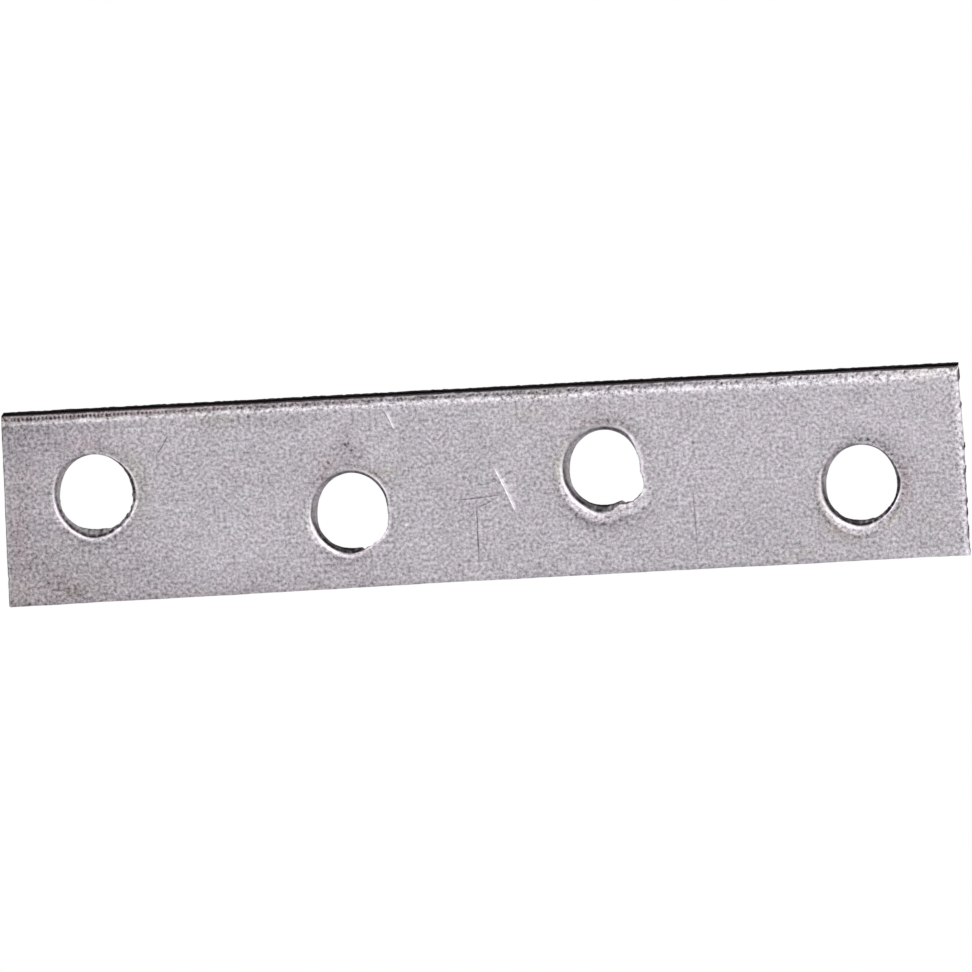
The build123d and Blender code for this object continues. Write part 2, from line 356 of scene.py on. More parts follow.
# ------------------------------------------------------------------ scratches
# line, half width, depth, bright (bare zinc) 0..1, dark (filled with dirt) 0..1
SCRATCHES = [
    (((0.81, 1.38), (1.42, -0.02), (2.16, -1.84)), 0.095, 0.040, 1.7, 0.0),
    (((-0.47, -1.20), (-0.50, -2.40), (-0.53, -3.62), (-0.55, -5.29)), 0.072, 0.016, 0.0, 1.0),
    (((-2.10, -0.90), (-1.42, -0.88), (-0.48, -0.84), (1.17, -0.70)), 0.062, 0.012, 0.0, 0.80),
    (((-0.57, 0.05), (0.14, 0.06), (1.01, 0.26), (2.11, 0.97)), 0.060, 0.007, 0.0, 0.60),
    (((-1.09, 0.67), (-0.73, 0.23)), 0.050, 0.007, 0.0, 0.35),
    (((-0.62, -1.75), (-1.10, -2.18), (-1.77, -2.28)), 0.058, 0.006, 0.0, 0.55),
    (((-0.32, -1.42), (0.57, -1.06)), 0.066, 0.010, 0.0, 0.80),
    (((13.90, -1.00), (13.94, -3.20), (13.96, -5.70)), 0.066, 0.008, 0.0, 0.62),
    (((14.09, 2.82), (14.00, 0.28)), 0.050, 0.006, 0.0, 0.25),
    (((-21.66, 3.03), (-21.15, 3.61), (-20.67, 4.39)), 0.066, 0.012, 0.0, 0.75),
    (((-6.13, 5.39), (-5.84, 4.77), (-5.56, 4.02)), 0.065, 0.026, 1.3, 0.0),
    (((-5.52, 2.75), (-5.42, 2.30)), 0.050, 0.010, 0.5, 0.0),
    (((-6.62, -5.85), (-6.28, -6.30)), 0.075, 0.026, 1.3, 0.0),
    (((9.34, -5.22), (9.62, -5.70), (9.84, -6.02)), 0.060, 0.020, 1.0, 0.0),
    (((1.70, -6.10), (2.32, -5.80)), 0.060, 0.012, 0.2, 0.5),
    (((4.30, -5.85), (5.09, -6.22)), 0.060, 0.012, 0.0, 0.6),
    (((3.44, 4.53), (3.38, 2.53)), 0.045, 0.005, 0.0, 0.20),
    (((-20.66, 1.66), (-19.98, 1.81)), 0.055, 0.005, 0.0, 0.50),
    (((-30.10, -2.68), (-29.92, -2.84)), 0.070, 0.010, 1.0, 0.0),
    (((-29.60, -3.05), (-29.36, -3.28)), 0.070, 0.010, 1.0, 0.0),
]


def scratch_fields(x, y):
    """Height change, brightness and dirt of all the scratches at points of the face, with a painted shadow line beside
    the deepest furrows in the dark share.
    """
    dz, bright, dark = np.zeros(np.shape(x)), np.zeros(np.shape(x)), np.zeros(np.shape(x))
    for line, w, depth, b, k in SCRATCHES:
        d, u, ln = along(x, y, line)
        taper = ramp(-0.02, 0.22 * ln + 0.05, u) * (1 - ramp(0.86 * ln - 0.05, ln + 0.02, u))
        taper = 0.25 + 0.75 * taper
        live = np.abs(d) < 4 * w
        e = np.exp(-((d / w) ** 2))
        dz -= np.where(live, depth * taper * e, 0)
        dz += np.where(live, 0.30 * depth * taper * np.exp(-(((np.abs(d) - 1.7 * w) / (0.6 * w)) ** 2)), 0)
        wob = 0.75 + 0.35 * n3(u + line[0][0], d * 4, 0.25)
        bright = np.maximum(bright, np.where(live, b * taper * wob * np.exp(-((d / (0.85 * w)) ** 2)), 0))
        dark = np.maximum(dark, np.where(live, k * taper * wob * np.exp(-((d / (0.80 * w)) ** 2)), 0))
        if b >= 0.7:    # the furrow's far lip throws a thin dark line on one side
            # painted shadow: a thin dark line beside the furrow
            dark = np.maximum(dark, np.where(live, 0.5 * taper * np.exp(-(((d + 1.45 * w) / (0.45 * w)) ** 2)), 0))
    return dz, bright, dark


# small round dings in the face: x, y, radius, depth, and dirt in them where there is any
DINGS = [(-14.05, 3.34, .13, .010), (-13.10, 0.41, .12, .010), (-13.93, -4.17, .10, .008), (0.95, 3.26, .10, .010),
         (2.29, -5.31, .10, .010), (10.31, 2.89, .10, .008), (14.43, 5.07, .11, .008), (16.60, -0.60, .10, .008),
         (24.50, -0.36, .10, .006), (-5.16, -2.29, .11, .012), (-8.91, 3.70, .12, .010), (-12.20, 4.32, .08, .008),
         (-17.20, 0.95, .14, .010), (-16.30, -1.75, .16, .008), (-27.60, -4.30, .12, .008), (21.1, 3.4, .10, .007), (-8.93, 3.20, .125, .014, 1.0), (-8.70, 3.28, .10, .012, .9),
         (-8.55, 2.80, .12, .012, .95), (-10.11, 2.04, .12, .014, .95), (-10.37, 1.70, .11, .012, .8), (-7.96, 2.24, .11, .010, .6),
         (-5.62, 3.16, .09, .008, -1.2), (-5.17, -2.26, .12, .008, -1.5), (-12.8, 4.3, .07, .006, -.7), (11.2, -3.1, .08, .006, .35),
         (-21.0, -1.2, .09, .006, .35), (16.1, 3.9, .08, .006, .35), (-14.9, -0.3, .07, .006, -.6), (4.2, -3.4, .07, .006, .35)]


def face_z(x, y, s=None, side=None, t=None):
    """Height of the punched face anywhere on it. For points on a side's rim rings, s is the inset and t the place along."""
    x, y = np.asarray(x, float), np.asarray(y, float)
    drop = np.zeros(x.shape)
    for name in SIDES:
        if name == side:
            continue
        gap = side_gap(name, x, y)
        tt = x if name in ("bottom", "top") else y
        drop = np.maximum(drop, np.where(gap < 1.0, side_drop(name, np.maximum(gap, 0.0), tt), 0))
    if side is not None:
        drop = np.maximum(drop, side_drop(side, s, t))
    # rolled stock is not dead flat: slow waves, a little dishing at the holes, the odd ding
    z = T - drop - 0.004
    edge = np.ones(x.shape)
    for name in SIDES:
        edge *= ramp(0.0, 0.8, side_gap(name, x, y))
    z = z + edge * (0.0035 * n1(x, y, 2.6, 1.9) + 0.0012 * n2(x, y, 0.7))
    for h in HOLES:
        e, th = hole_polar(h, x, y)
        z = z - h["dish"] * (1 - ramp(0.2, DISH_W, e)) * (e < DISH_W)
        # shallow dished ring beyond the roll
        shelf = by_hour(h["w"], th)
        lip = np.clip(by_hour(h["b"], th) + shelf - e, 0, None)
        z = z - np.where(e < DISH_W, 0.150 * np.minimum(lip, shelf) * np.minimum(1, lip / 0.05), 0)
    for cx, cy, r, dp, *_ in DINGS:
        rr = np.hypot(x - cx, y - cy) / r
        z = z - np.where(rr < 3, dp * np.exp(-(rr**2)) - 0.3 * dp * np.exp(-(((rr - 1.5) / 0.4) ** 2)), 0)
    dz, _, _ = scratch_fields(x, y)
    z = z + dz * ramp(0.03, 0.2, side_gap("bottom", x, y))
    # the lower right corner was pushed down as it was cropped
    z = z - 0.05 * blob(x, y, BR[0], BR[1], 0.55, 0.5)
    return z


# ----------------------------------------------------------------- mesh store
verts, faces = [], []
# per point zones: wall, torn, dirt together with painted shade, and painted highlight
zone = {"wall": [], "torn": [], "dirt_and_shade": [], "painted_shine": []}


def add(points, wall=0.0, torn=0.0, dirt_and_shade=0.0, painted_shine=0.0):
    """Adds points and their zone values; gives back their indices."""
    start = sum(len(v) for v in verts)
    verts.append(np.asarray(points, float))
    n = len(points)
    for key, val in (("wall", wall), ("torn", torn), ("dirt_and_shade", dirt_and_shade), ("painted_shine", painted_shine)):
        zone[key].append(np.broadcast_to(np.asarray(val, float), (n,)).copy())
    return np.arange(start, start + n)


def bridge(a, b, flip=False):
    """Quads between two closed rings of the same length."""
    for i in range(len(a)):
        j = (i + 1) % len(a)
        faces.append((b[i], b[j], a[j], a[i]) if flip else (a[i], a[j], b[j], b[i]))


# --------------------------------------------------------- outer edge's rings
def rect_ring(s, extra_r=0.0):
    """Plan points of the outline at inset s, with each point's side, place and share of a corner."""
    lines = []
    for i in range(4):
        p, q = CORNERS[i], CORNERS[(i + 1) % 4]
        d = (q - p) / np.linalg.norm(q - p)
        n = np.array([-d[1], d[0]])
        lines.append((p + n * s, d, n))
    pts, tags = [], []
    corner = []
    for i in range(4):
        p0, d0, _ = lines[(i - 1) % 4]
        p1, d1, _ = lines[i]
        m = np.array([[d0[0], -d1[0]], [d0[1], -d1[1]]])
        u = np.linalg.solve(m, p1 - p0)
        corner.append(p0 + u[0] * d0)
    for i in range(4):
        side = SIDES[i]
        d = lines[i][1]
        r0 = CORNER_R[i] + (0.45 + extra_r) * s
        r1 = CORNER_R[(i + 1) % 4] + (0.45 + extra_r) * s
        a, b = corner[i] + d * r0, corner[(i + 1) % 4] - d * r1
        n = SIDE_N[side]
        f = np.linspace(0, 1, n)
        pts.append(a + (b - a) * f[:, None])
        tags += [(i, -1.0)] * n
        # the rounded corner to the next side
        nd = lines[(i + 1) % 4][1]
        c, e = corner[(i + 1) % 4], corner[(i + 1) % 4] + nd * r1
        g = np.linspace(0, 1, ARC_N + 2)[1:-1, None]
        pts.append((1 - g) ** 2 * b + 2 * g * (1 - g) * c + g**2 * e)
        tags += [(i, float(v)) for v in g[:, 0]]
    return np.concatenate(pts), tags


_, TAGS = rect_ring(0.0)
SIDE_I = np.array([t[0] for t in TAGS])
ARC_G = np.array([t[1] for t in TAGS])
ON_ARC = ARC_G >= 0


def place(side, p):
    return p[:, 0] if side in ("bottom", "top") else p[:, 1]


def ring_z(s, p):
    """Face height on a rim ring: its own side's profile, blended round the corners."""
    z = np.zeros(len(p))
    for i, side in enumerate(SIDES):
        own = (SIDE_I == i) & ~ON_ARC
        z[own] = face_z(p[own, 0], p[own, 1], np.full(own.sum(), s), side, place(side, p[own]))
        arc = (SIDE_I == i) & ON_ARC
        nxt = SIDES[(i + 1) % 4]
        g = ARC_G[arc]
        r = CORNER_R[(i + 1) % 4] + 0.45 * s
        grow = r * ramp(0.0, 0.12, s) + 0.12
        da = side_drop(side, s + grow * g**2, place(side, p[arc]))
        db = side_drop(nxt, s + grow * (1 - g) ** 2, place(nxt, p[arc]))
        z[arc] = T - 0.004 - np.maximum(da, db) - 0.05 * blob(p[arc, 0], p[arc, 1], BR[0], BR[1], 0.55, 0.5)
    return z


def outline_shift(p, low=0.0):
    """Small wanderings of the sheared sides, and the spur at the lower right corner."""
    q = p.copy()
    i_b, i_r, i_t, i_l = (SIDE_I == k for k in range(4))
    q[:, 1] += np.where(i_b, 0.012 * n1(p[:, 0], 61.0, 1.7) + 0.008 * n2(p[:, 0], 63.0, 0.33), 0)
    q[:, 1] += np.where(i_t, 0.006 * n1(p[:, 0], 65.0, 2.1), 0)
    q[:, 0] += np.where(i_l, 0.012 * n1(p[:, 1], 67.0, 1.3) + 0.006 * n2(p[:, 1], 69.0, 0.3)
                        + 0.035 * gauss(p[:, 1], -4.55, 0.16), 0)
    q[:, 0] += np.where(i_r, 0.014 * n1(p[:, 1], 71.0, 0.8) + 0.012 * n2(p[:, 1], 73.0, 0.22), 0)
    # the slit edge bows a little, and dips to a spur at the lower right corner
    low = np.interp(p[:, 0], (-31.4, -27, -20, -12, -8.5, -4, 0, 6, 12, 17, 21, 26, 29, 30, 30.8, 31.4),
                    (0.058, 0.046, 0.038, 0.032, 0.004, -0.012, 0, 0.010, 0.017, 0.036, 0.047, 0.054, 0.050, 0.070, 0.075, 0.078))
    q[:, 1] -= low * (1 - ramp(0.0, 0.9, side_gap("bottom", p[:, 0], p[:, 1])))
    bow = 0.070 * gauss(p[:, 1], 1.0, 2.4) - 0.035 * gauss(p[:, 1], -3.6, 1.6)
    q[:, 0] += bow * (1 - ramp(0.0, 0.9, side_gap("right", p[:, 0], p[:, 1])))
    return q


TOP_S = [0.0, 0.004, 0.013, 0.026, 0.042, 0.062, 0.085, 0.115, 0.155, 0.195, 0.235, 0.275, 0.32, 0.38, 0.45, 0.52, 0.59, 0.66, 0.74, 0.90]
rings = []
for s in reversed(TOP_S):
    p, _ = rect_ring(s)
    z = ring_z(s, p)
    keep = 1 - ramp(0.0, 0.9, s)
    q = p + (outline_shift(p) - p) * keep
    # painted shade between the teeth's roots, and painted black shade on the last few hundredths before the wall
    own_top = (SIDE_I == 2) & ~ON_ARC
    shade_band_edge = 0.018 * n1(p[:, 0], 151.0, 0.45) + 0.016 * n2(p[:, 0], 153.0, 0.13) - 0.05 * gauss(p[:, 0], -1.6, 0.12) - 0.04 * gauss(p[:, 0], 26.6, 0.12)
    shade_band_edge = shade_band_edge + 0.024 - 0.030 * (1 - ramp(-31.4, -28.5, p[:, 0]))
    shade_band = np.where((SIDE_I == 2), 1 - ramp(0.066, 0.124, s - shade_band_edge - 0.018 * ramp(2, 22, p[:, 0])), 0.0)
    rings.append(add(np.column_stack([q, z]), wall=np.full(len(q), 1.0 if s < 0.002 else 0.0),
                     dirt_and_shade=np.maximum(np.where(own_top, np.clip(1.15 * teeth(p[:, 0], s), 0, 1), 0.0), shade_band)))
TOP_INNER = rings[0]
RIM = rings[-1]
rim_xyz = verts[-1]

# walls: burnished land above, torn zone below, with an uneven border between them
RIM_Z = rim_xyz[:, 2]
foot = np.zeros(len(rim_xyz))
reach = np.zeros(len(rim_xyz))
for i, side in enumerate(SIDES):
    m = SIDE_I == i
    fz, fr = side_floor(side, place(side, rim_xyz[m]))
    nz, nr = side_floor(SIDES[(i + 1) % 4], place(SIDES[(i + 1) % 4], rim_xyz[m]))
    g = smooth(np.maximum(ARC_G[m], 0))
    foot[m], reach[m] = fz * (1 - g) + nz * g, fr * (1 - g) + nr * g
inward = np.zeros((len(rim_xyz), 2))
for i in range(4):
    n = np.array([-(CORNERS[(i + 1) % 4] - CORNERS[i])[1], (CORNERS[(i + 1) % 4] - CORNERS[i])[0]])
    n = n / np.linalg.norm(n)
    m = np.array([-(CORNERS[(i + 2) % 4] - CORNERS[(i + 1) % 4])[1], (CORNERS[(i + 2) % 4] - CORNERS[(i + 1) % 4])[0]])
    m = m / np.linalg.norm(m)
    sel = SIDE_I == i
    g = smooth(np.maximum(ARC_G[sel], 0))[:, None]
    v = n * (1 - g) + m * g
    inward[sel] = v / np.linalg.norm(v, axis=1)[:, None]
right_side = ((SIDE_I == 1) | ((SIDE_I == 0) & ON_ARC)) * 1.0
BURR = burr(rim_xyz[:, 1]) * right_side
TOP_SIDE = (SIDE_I == 2) * 1.0
plane_x, plane_y = rim_xyz[:, 0], rim_xyz[:, 1]
along_wall = np.where((SIDE_I == 0) | (SIDE_I == 2), plane_x, plane_y)
wall_levels = [0.90, 0.74, 0.58, 0.42, 0.24, 0.08]
last = RIM
for k, f in enumerate(wall_levels):
    z = foot + (RIM_Z - foot) * f
    border = 0.55 + 0.10 * n3(along_wall, 81.0, 0.6)
    torn = ramp(border + 0.06, border - 0.06, f)
    rough = (0.010 + 0.018 * torn) * n4(along_wall, f * 3.1 + 83, 0.19, 0.5) + 0.012 * torn
    mark = BURR * ramp(-0.26 + 0.12 * n2(along_wall, 161.0, 0.3), 0.20, f)      # burrs hang from the rim and fade downwards
    grime = mark * ramp(-0.04 + 0.16 * n2(along_wall, 161.0, 0.3), 0.50, f) * np.clip(0.82 + 0.30 * n4(along_wall, f * 1.2 + 163.0, 0.16, 0.9), 0, 1)
    under = 0.20 * (1 - f) ** 0.8 * right_side * (1 - mark)      # the +X end leans in under its rim
    out = 0.008 * BURR * ramp(0.95, 0.6, f)
    inset = np.maximum(rough, -0.004) + under - out
    q = np.column_stack([plane_x, plane_y]) + inward * inset[:, None]
    streak = n2(along_wall, 157.0, 0.35) + 0.6 * n1(along_wall, f * 1.3 + 159.0, 0.14, 1.0)
    # painted shade: the +Y wall is painted near black, a little less towards its foot, in streaks
    wall_shade_top = np.clip(np.interp(f, (0.08, 0.24, 0.42, 0.58), (0.62, 0.78, 0.92, 1.0)) + 0.14 * (1 - f) * streak, 0, 1)
    ring = add(np.column_stack([q, z]), wall=1.0, torn=torn * (1 - 0.75 * TOP_SIDE) * (1 - grime), dirt_and_shade=np.maximum(grime, TOP_SIDE * wall_shade_top))
    bridge(last, ring, True)
    last = ring
    last_xy = q
# underside's rim
for f, g in ((0.0, 0.0), (0.22, 0.55), (0.55, 0.86), (1.0, 1.0)):
    z = foot * (1 - g)
    q = last_xy + inward * (reach * f)[:, None]
    if f == 1.0:
        # bring corners together evenly for the flat underside
        p, _ = rect_ring(0.66)
        q = p
        z = np.zeros(len(p))
    elif f > 0:
        p, _ = rect_ring(0.66 * f)
        q = last_xy * (1 - f) + p * f
    ring = add(np.column_stack([q, np.maximum(z, 0)]), wall=1.0 - g, torn=0.4)
    bridge(last, ring, True)
    last = ring
BOTTOM_INNER = last
for a, b in zip(rings[:-1], rings[1:]):
    bridge(a, b, True)


# -------------------------------------------------------------- hole's rings
TH = np.linspace(0, 2 * math.pi, HOLE_N, endpoint=False)
hole_tops, hole_bottoms = [], []
for hi, h in enumerate(HOLES):
    R = throat(h, TH)
    a = by_hour(h["a"], TH) * (1 + 0.05 * n1(TH * 2.5, 91.0 + hi, 0.5))
    b = by_hour(h["b"], TH) * (1 + 0.04 * n2(TH * 2.5, 93.0 + hi, 0.5))
    slope = np.radians(by_hour(h["s"], TH))
    away = torn_away(h, TH)
    flare = by_hour(h["f"], TH) + away + 0.010 * n3(TH * 2.5, 95.0 + hi, 0.16)
    cos, sin = np.cos(TH), np.sin(TH)

    def at(r):
        return np.column_stack([h["c"][0] + r * cos, h["c"][1] + r * sin])

    rg = (b - a) / np.sin(slope)
    dg = rg * (1 - np.cos(slope))
    rs = a / (1 - np.sin(slope))
    # k gives painted shade in the step under the mouth, v painted shade down the wall, p a painted highlight on the
    # roll
    matt, step_shade, painted_gleam, ragged, wall_shade = (by_hour(h[key], TH) for key in "mkpuv")
    chips = n1(TH * 2.5, 111.0 + hi, 0.17) + 0.6 * n2(TH * 2.5, 113.0 + hi, 0.09)
    step_shade = np.clip(step_shade * (1 + 2.0 * ragged * chips), 0, 1)
    matt = np.clip(matt + 1.6 * ragged * (n2(TH * 2.5, 119.0 + hi, 0.16) - 0.1), 0, 1)
    painted_gleam = np.clip(painted_gleam * (1 + 0.8 * ragged * np.roll(chips, 7)), 0, 1.2)
    bite = 0.065 * ragged**1.5 * (n3(TH * 2.5, 115.0 + hi, 0.20) + 0.6 * n4(TH * 2.5, 117.0 + hi, 0.11))
    top_rings = []
    for e in (0.42, 0.30, 0.20, 0.12, 0.05):
        q = at(R + b + e)
        top_rings.append(add(np.column_stack([q, face_z(q[:, 0], q[:, 1])])))
    for g in (1.0, 0.86, 0.72, 0.58, 0.44, 0.30, 0.16, 0.0):
        e = a + (b - a) * g
        q = at(R + e)
        drop = rg - np.sqrt(np.maximum(rg**2 - (b - e) ** 2, 0))
        uneven = (0.003 + 0.008 * ragged) * n4(TH * 2.6, g * 2 + 97 + hi, 0.18, 0.7) * (1 - g) * g * 4
        # painted shade at the roll's inner edge, and a painted highlight over the roll
        top_rings.append(add(np.column_stack([q, face_z(q[:, 0], q[:, 1]) - drop + uneven]),
                             dirt_and_shade=step_shade * (0.75 if g == 0 else 0.0), painted_shine=painted_gleam * (0.0 if g == 1 else 1.0 - 0.75 * g if g > 0.1 else 0.7)))
    q0 = at(R + a)
    junction = face_z(q0[:, 0], q0[:, 1]) - dg
    # the step under the mouth: painted shade lies in its first tenth of a millimetre, and a painted highlight at its
    # top
    for g in (0.12, 0.26, 0.42, 0.60, 0.80, 1.0):
        phi = slope + (math.pi / 2 - slope) * g
        e = rs * (1 - np.sin(phi))
        z = junction - rs * (np.cos(slope) - np.cos(phi))
        deep = np.hypot(a - e, junction - z)
        line = np.exp(-((np.maximum(deep - 0.14, 0) / 0.13) ** 2))
        top_rings.append(add(np.column_stack([at(R + e + bite * g**2), z]), wall=g, torn=matt * ramp(0.10, 0.26, deep),
                             dirt_and_shade=step_shade * line, painted_shine=painted_gleam * 0.5 * (1 - ramp(0.02, 0.08, deep))))
    zw = junction - rs * np.cos(slope)
    border = by_hour(h["t"], TH) + 0.10 * n1(TH * 2.5, 99.0 + hi, 0.5) + 0.05 * n2(TH * 2.5, 101.0 + hi, 0.18)
    border = np.minimum(border + 9 * away, zw - 0.05)
    # painted shade down the wall, strongest at the border and easing towards the foot, with the step's painted shade
    # reaching onto the land
    for level in ("land", "border", 0.75, 0.5, 0.28, 0.1, 0.0):
        soil = 0.0
        if level == "land":
            z, r, m = (zw + border) / 2, R + bite, matt
            soil = np.maximum(step_shade * np.exp(-(((junction - z) / 0.30) ** 2)), 0.35 * wall_shade)
        elif level == "border":
            z, r, m = border, R + 0.002 + bite, matt
            soil = wall_shade
        else:
            z = border * level
            r = R + bite * level + flare * (1 - level) ** 0.85 + 0.020 * n4(TH * 2.5, level * 5 + 103 + hi, 0.13, 0.9) * (1 - abs(level - 0.4))
            m = np.maximum(matt, 0.25)
            soil = wall_shade * (0.6 + 0.4 * level)
        top_rings.append(add(np.column_stack([at(r), np.broadcast_to(z, TH.shape)]), wall=1.0, torn=m, dirt_and_shade=soil))
    for k, e in enumerate((0.03, 0.12, 0.30)):
        r = R + flare + e
        top_rings.append(add(np.column_stack([at(r), np.zeros(HOLE_N)]), wall=0.5 * (k == 0), torn=0.4))
    for u, v in zip(top_rings[:-1], top_rings[1:]):
        bridge(u, v)
    hole_tops.append(top_rings[0])
    hole_bottoms.append(top_rings[-1])


# --------------------------------------------------- flat fields in between
def fill(outer, inners, extra, up):
    """Triangles between an outer ring, the hole rings and loose points inside."""
    allv = np.concatenate(verts)
    loops = [outer] + inners
    idx = np.concatenate(loops)
    base = allv[idx][:, :2]
    pts = np.concatenate([base, extra[0]]) if len(extra[0]) else base
    if len(extra[0]):
        new = add(np.column_stack([extra[0], extra[1]]), torn=0.0 if up else 0.4)
        idx = np.concatenate([idx, new])
    edges, k = [], 0
    for lp in loops:
        n = len(lp)
        edges += [(k + i, k + (i + 1) % n) for i in range(n)]
        k += n
    out = delaunay_2d_cdt([Vector(p) for p in pts], edges, [], 1, 1e-7)
    co, tris, orig = out[0], out[2], out[3]
    where = [o[0] if o else -1 for o in orig]
    xy = np.array([(c.x, c.y) for c in co])
    poly = allv[outer][:, :2]
    ring_r = []
    for lp, h in zip(inners, HOLES):
        q = allv[lp][:, :2] - np.array(h["c"])
        ang = np.arctan2(q[:, 1], q[:, 0]) % (2 * math.pi)
        o = np.argsort(ang)
        ring_r.append((ang[o], np.hypot(q[:, 0], q[:, 1])[o]))
    for t in tris:
        c = xy[list(t)].mean(0)
        gaps = min(side_gap(s, c[0], c[1]) for s in SIDES)
        if gaps < OUTER_GAP - 0.02:
            continue
        inside = False
        for h, (ang, rad) in zip(HOLES, ring_r):
            dx, dy = c[0] - h["c"][0], c[1] - h["c"][1]
            rr = math.hypot(dx, dy)
            if rr < 4.2 and rr < np.interp(math.atan2(dy, dx) % (2 * math.pi), ang, rad, period=2 * math.pi) - 1e-4:
                inside = True
                break
        if inside:
            continue
        ids = [where[v] for v in t]
        if min(ids) < 0 or len(set(ids)) < 3:
            continue
        tri = [int(idx[v]) for v in ids]
        p = xy[list(t)]
        ccw = (p[1][0] - p[0][0]) * (p[2][1] - p[0][1]) - (p[1][1] - p[0][1]) * (p[2][0] - p[0][0]) > 0
        faces.append(tuple(tri) if ccw == up else tuple(reversed(tri)))


def field_points(step, margin, hole_margin, seed):
    """Jittered hexagonal points over the face, clear of the rims and the holes."""
    rng = np.random.default_rng(seed)
    xs, ys = np.arange(-32, 32, step), np.arange(-6.5, 6.5, step * 0.866)
    gx, gy = np.meshgrid(xs, ys)
    gx = gx + (np.arange(len(ys)) % 2 * step / 2)[:, None]
    p = np.column_stack([gx.ravel(), gy.ravel()]) + rng.uniform(-0.16, 0.16, (gx.size, 2)) * step
    ok = np.ones(len(p), bool)
    for s in SIDES:
        ok &= side_gap(s, p[:, 0], p[:, 1]) > margin
    for h, lift in zip(HOLES, hole_margin):
        e, th = hole_polar(h, p[:, 0], p[:, 1])
        ok &= e > lift(th)
    return p[ok]


rng = np.random.default_rng(5)
pts = field_points(0.34, 0.90 + 0.20, [lambda th, h=h: by_hour(h["b"], th) + 0.42 + 0.18 for h in HOLES], 7)
fine = []
for line, w, depth, b, k in SCRATCHES:
    strong = b >= 0.7 or k >= 0.7
    step = 0.07 if strong else 0.12
    offsets = (-3.2, -2.2, -1.55, -1.0, -0.5, 0, 0.5, 1.0, 1.55, 2.2, 3.2) if strong else (-2.2, -1.2, -0.55, 0, 0.55, 1.2, 2.2)
    length = sum(math.dist(p, q) for p, q in zip(line[:-1], line[1:]))
    for u in np.arange(-0.05, length + 0.05, step):
        acc, rest = 0.0, max(0.0, min(u, length - 1e-6))
        for p, q in zip(line[:-1], line[1:]):
            ln = math.dist(p, q)
            if rest <= ln:
                break
            rest -= ln
        dx, dy = (q[0] - p[0]) / ln, (q[1] - p[1]) / ln
        over = u - max(0.0, min(u, length - 1e-6))
        cx, cy = p[0] + dx * (rest + over), p[1] + dy * (rest + over)
        for o in offsets:
            fine.append((cx - dy * o * w, cy + dx * o * w))
for cx, cy, r, dp, *_ in DINGS:
    for rr in (0.0, 0.5, 0.9, 1.4, 1.9):
        m = 1 if rr == 0 else 10
        for i in range(m):
            ang = 2 * math.pi * i / m + rr
            fine.append((cx + r * rr * math.cos(ang), cy + r * rr * math.sin(ang)))
fine = np.array(fine)
ok = np.ones(len(fine), bool)
for s in SIDES:
    ok &= side_gap(s, fine[:, 0], fine[:, 1]) > 0.90 + 0.05
for h in HOLES:
    e, th = hole_polar(h, fine[:, 0], fine[:, 1])
    ok &= e > by_hour(h["b"], th) + 0.42 + 0.06
fine = fine[ok]
# coarse points give way to the fine ones, and fine ones that nearly coincide are thinned
cell = {}
kept = []
for p in fine:
    key = (int(math.floor(p[0] / 0.03)), int(math.floor(p[1] / 0.03)))
    if any(math.dist(p, kept[i]) < 0.026 for dx in (-1, 0, 1) for dy in (-1, 0, 1) for i in cell.get((key[0] + dx, key[1] + dy), [])):
        continue
    cell.setdefault(key, []).append(len(kept))
    kept.append(tuple(p))
fine = np.array(kept)
coarse_cell = {}
for i, p in enumerate(fine):
    coarse_cell.setdefault((int(math.floor(p[0] / 0.2)), int(math.floor(p[1] / 0.2))), []).append(i)
far = []
for p in pts:
    key = (int(math.floor(p[0] / 0.2)), int(math.floor(p[1] / 0.2)))
    near = any(math.dist(p, fine[i]) < 0.13 for dx in (-1, 0, 1) for dy in (-1, 0, 1) for i in coarse_cell.get((key[0] + dx, key[1] + dy), []))
    if not near:
        far.append(p)
top_pts = np.concatenate([np.array(far), fine])
OUTER_GAP = 0.90
fill(TOP_INNER, hole_tops, (top_pts, face_z(top_pts[:, 0], top_pts[:, 1])), True)

under = field_points(0.8, 0.66 + 0.3, [lambda th: np.full(np.shape(th), 0.95) for h in HOLES], 9)
OUTER_GAP = 0.66
under_z = np.maximum(0.0025 + 0.0025 * n2(under[:, 0], under[:, 1], 2.2), 0)
fill(BOTTOM_INNER, hole_bottoms, (under, under_z), False)


# ------------------------------------------------------------------ the piece
co = np.concatenate(verts)
wall, torn, dirt_and_shade, painted_shine = (np.concatenate(zone[k]) for k in ("wall", "torn", "dirt_and_shade", "painted_shine"))
X, Y, Z = co.T
mesh = bpy.data.meshes.new("zinc_plate")
mesh.from_pydata([tuple(p) for p in co * MM], [], [tuple(int(i) for i in f) for f in faces])
mesh.update()
mesh.validate()
plate = bpy.data.objects.new("zinc_plate", mesh)
bpy.context.scene.collection.objects.link(plate)

# finish fields over the surface
on_top = (Z > 1.2).astype(float)
_, bare, soil = scratch_fields(X, Y)
for cx, cy, r, dp, *mark in DINGS:
    spot = np.exp(-((np.hypot(X - cx, Y - cy) / (0.85 * r)) ** 2)) * (mark[0] if mark else 0.0)
    soil, bare = np.maximum(soil, spot), np.maximum(bare, -spot)
bare, soil = bare * on_top * (1 - wall), soil * on_top * (1 - wall)
soil = np.maximum(soil, dirt_and_shade)
gap_t, gap_r, gap_l, gap_b = (side_gap(k, X, Y) for k in ("top", "right", "left", "bottom"))
on_rim = on_top * (1 - wall)
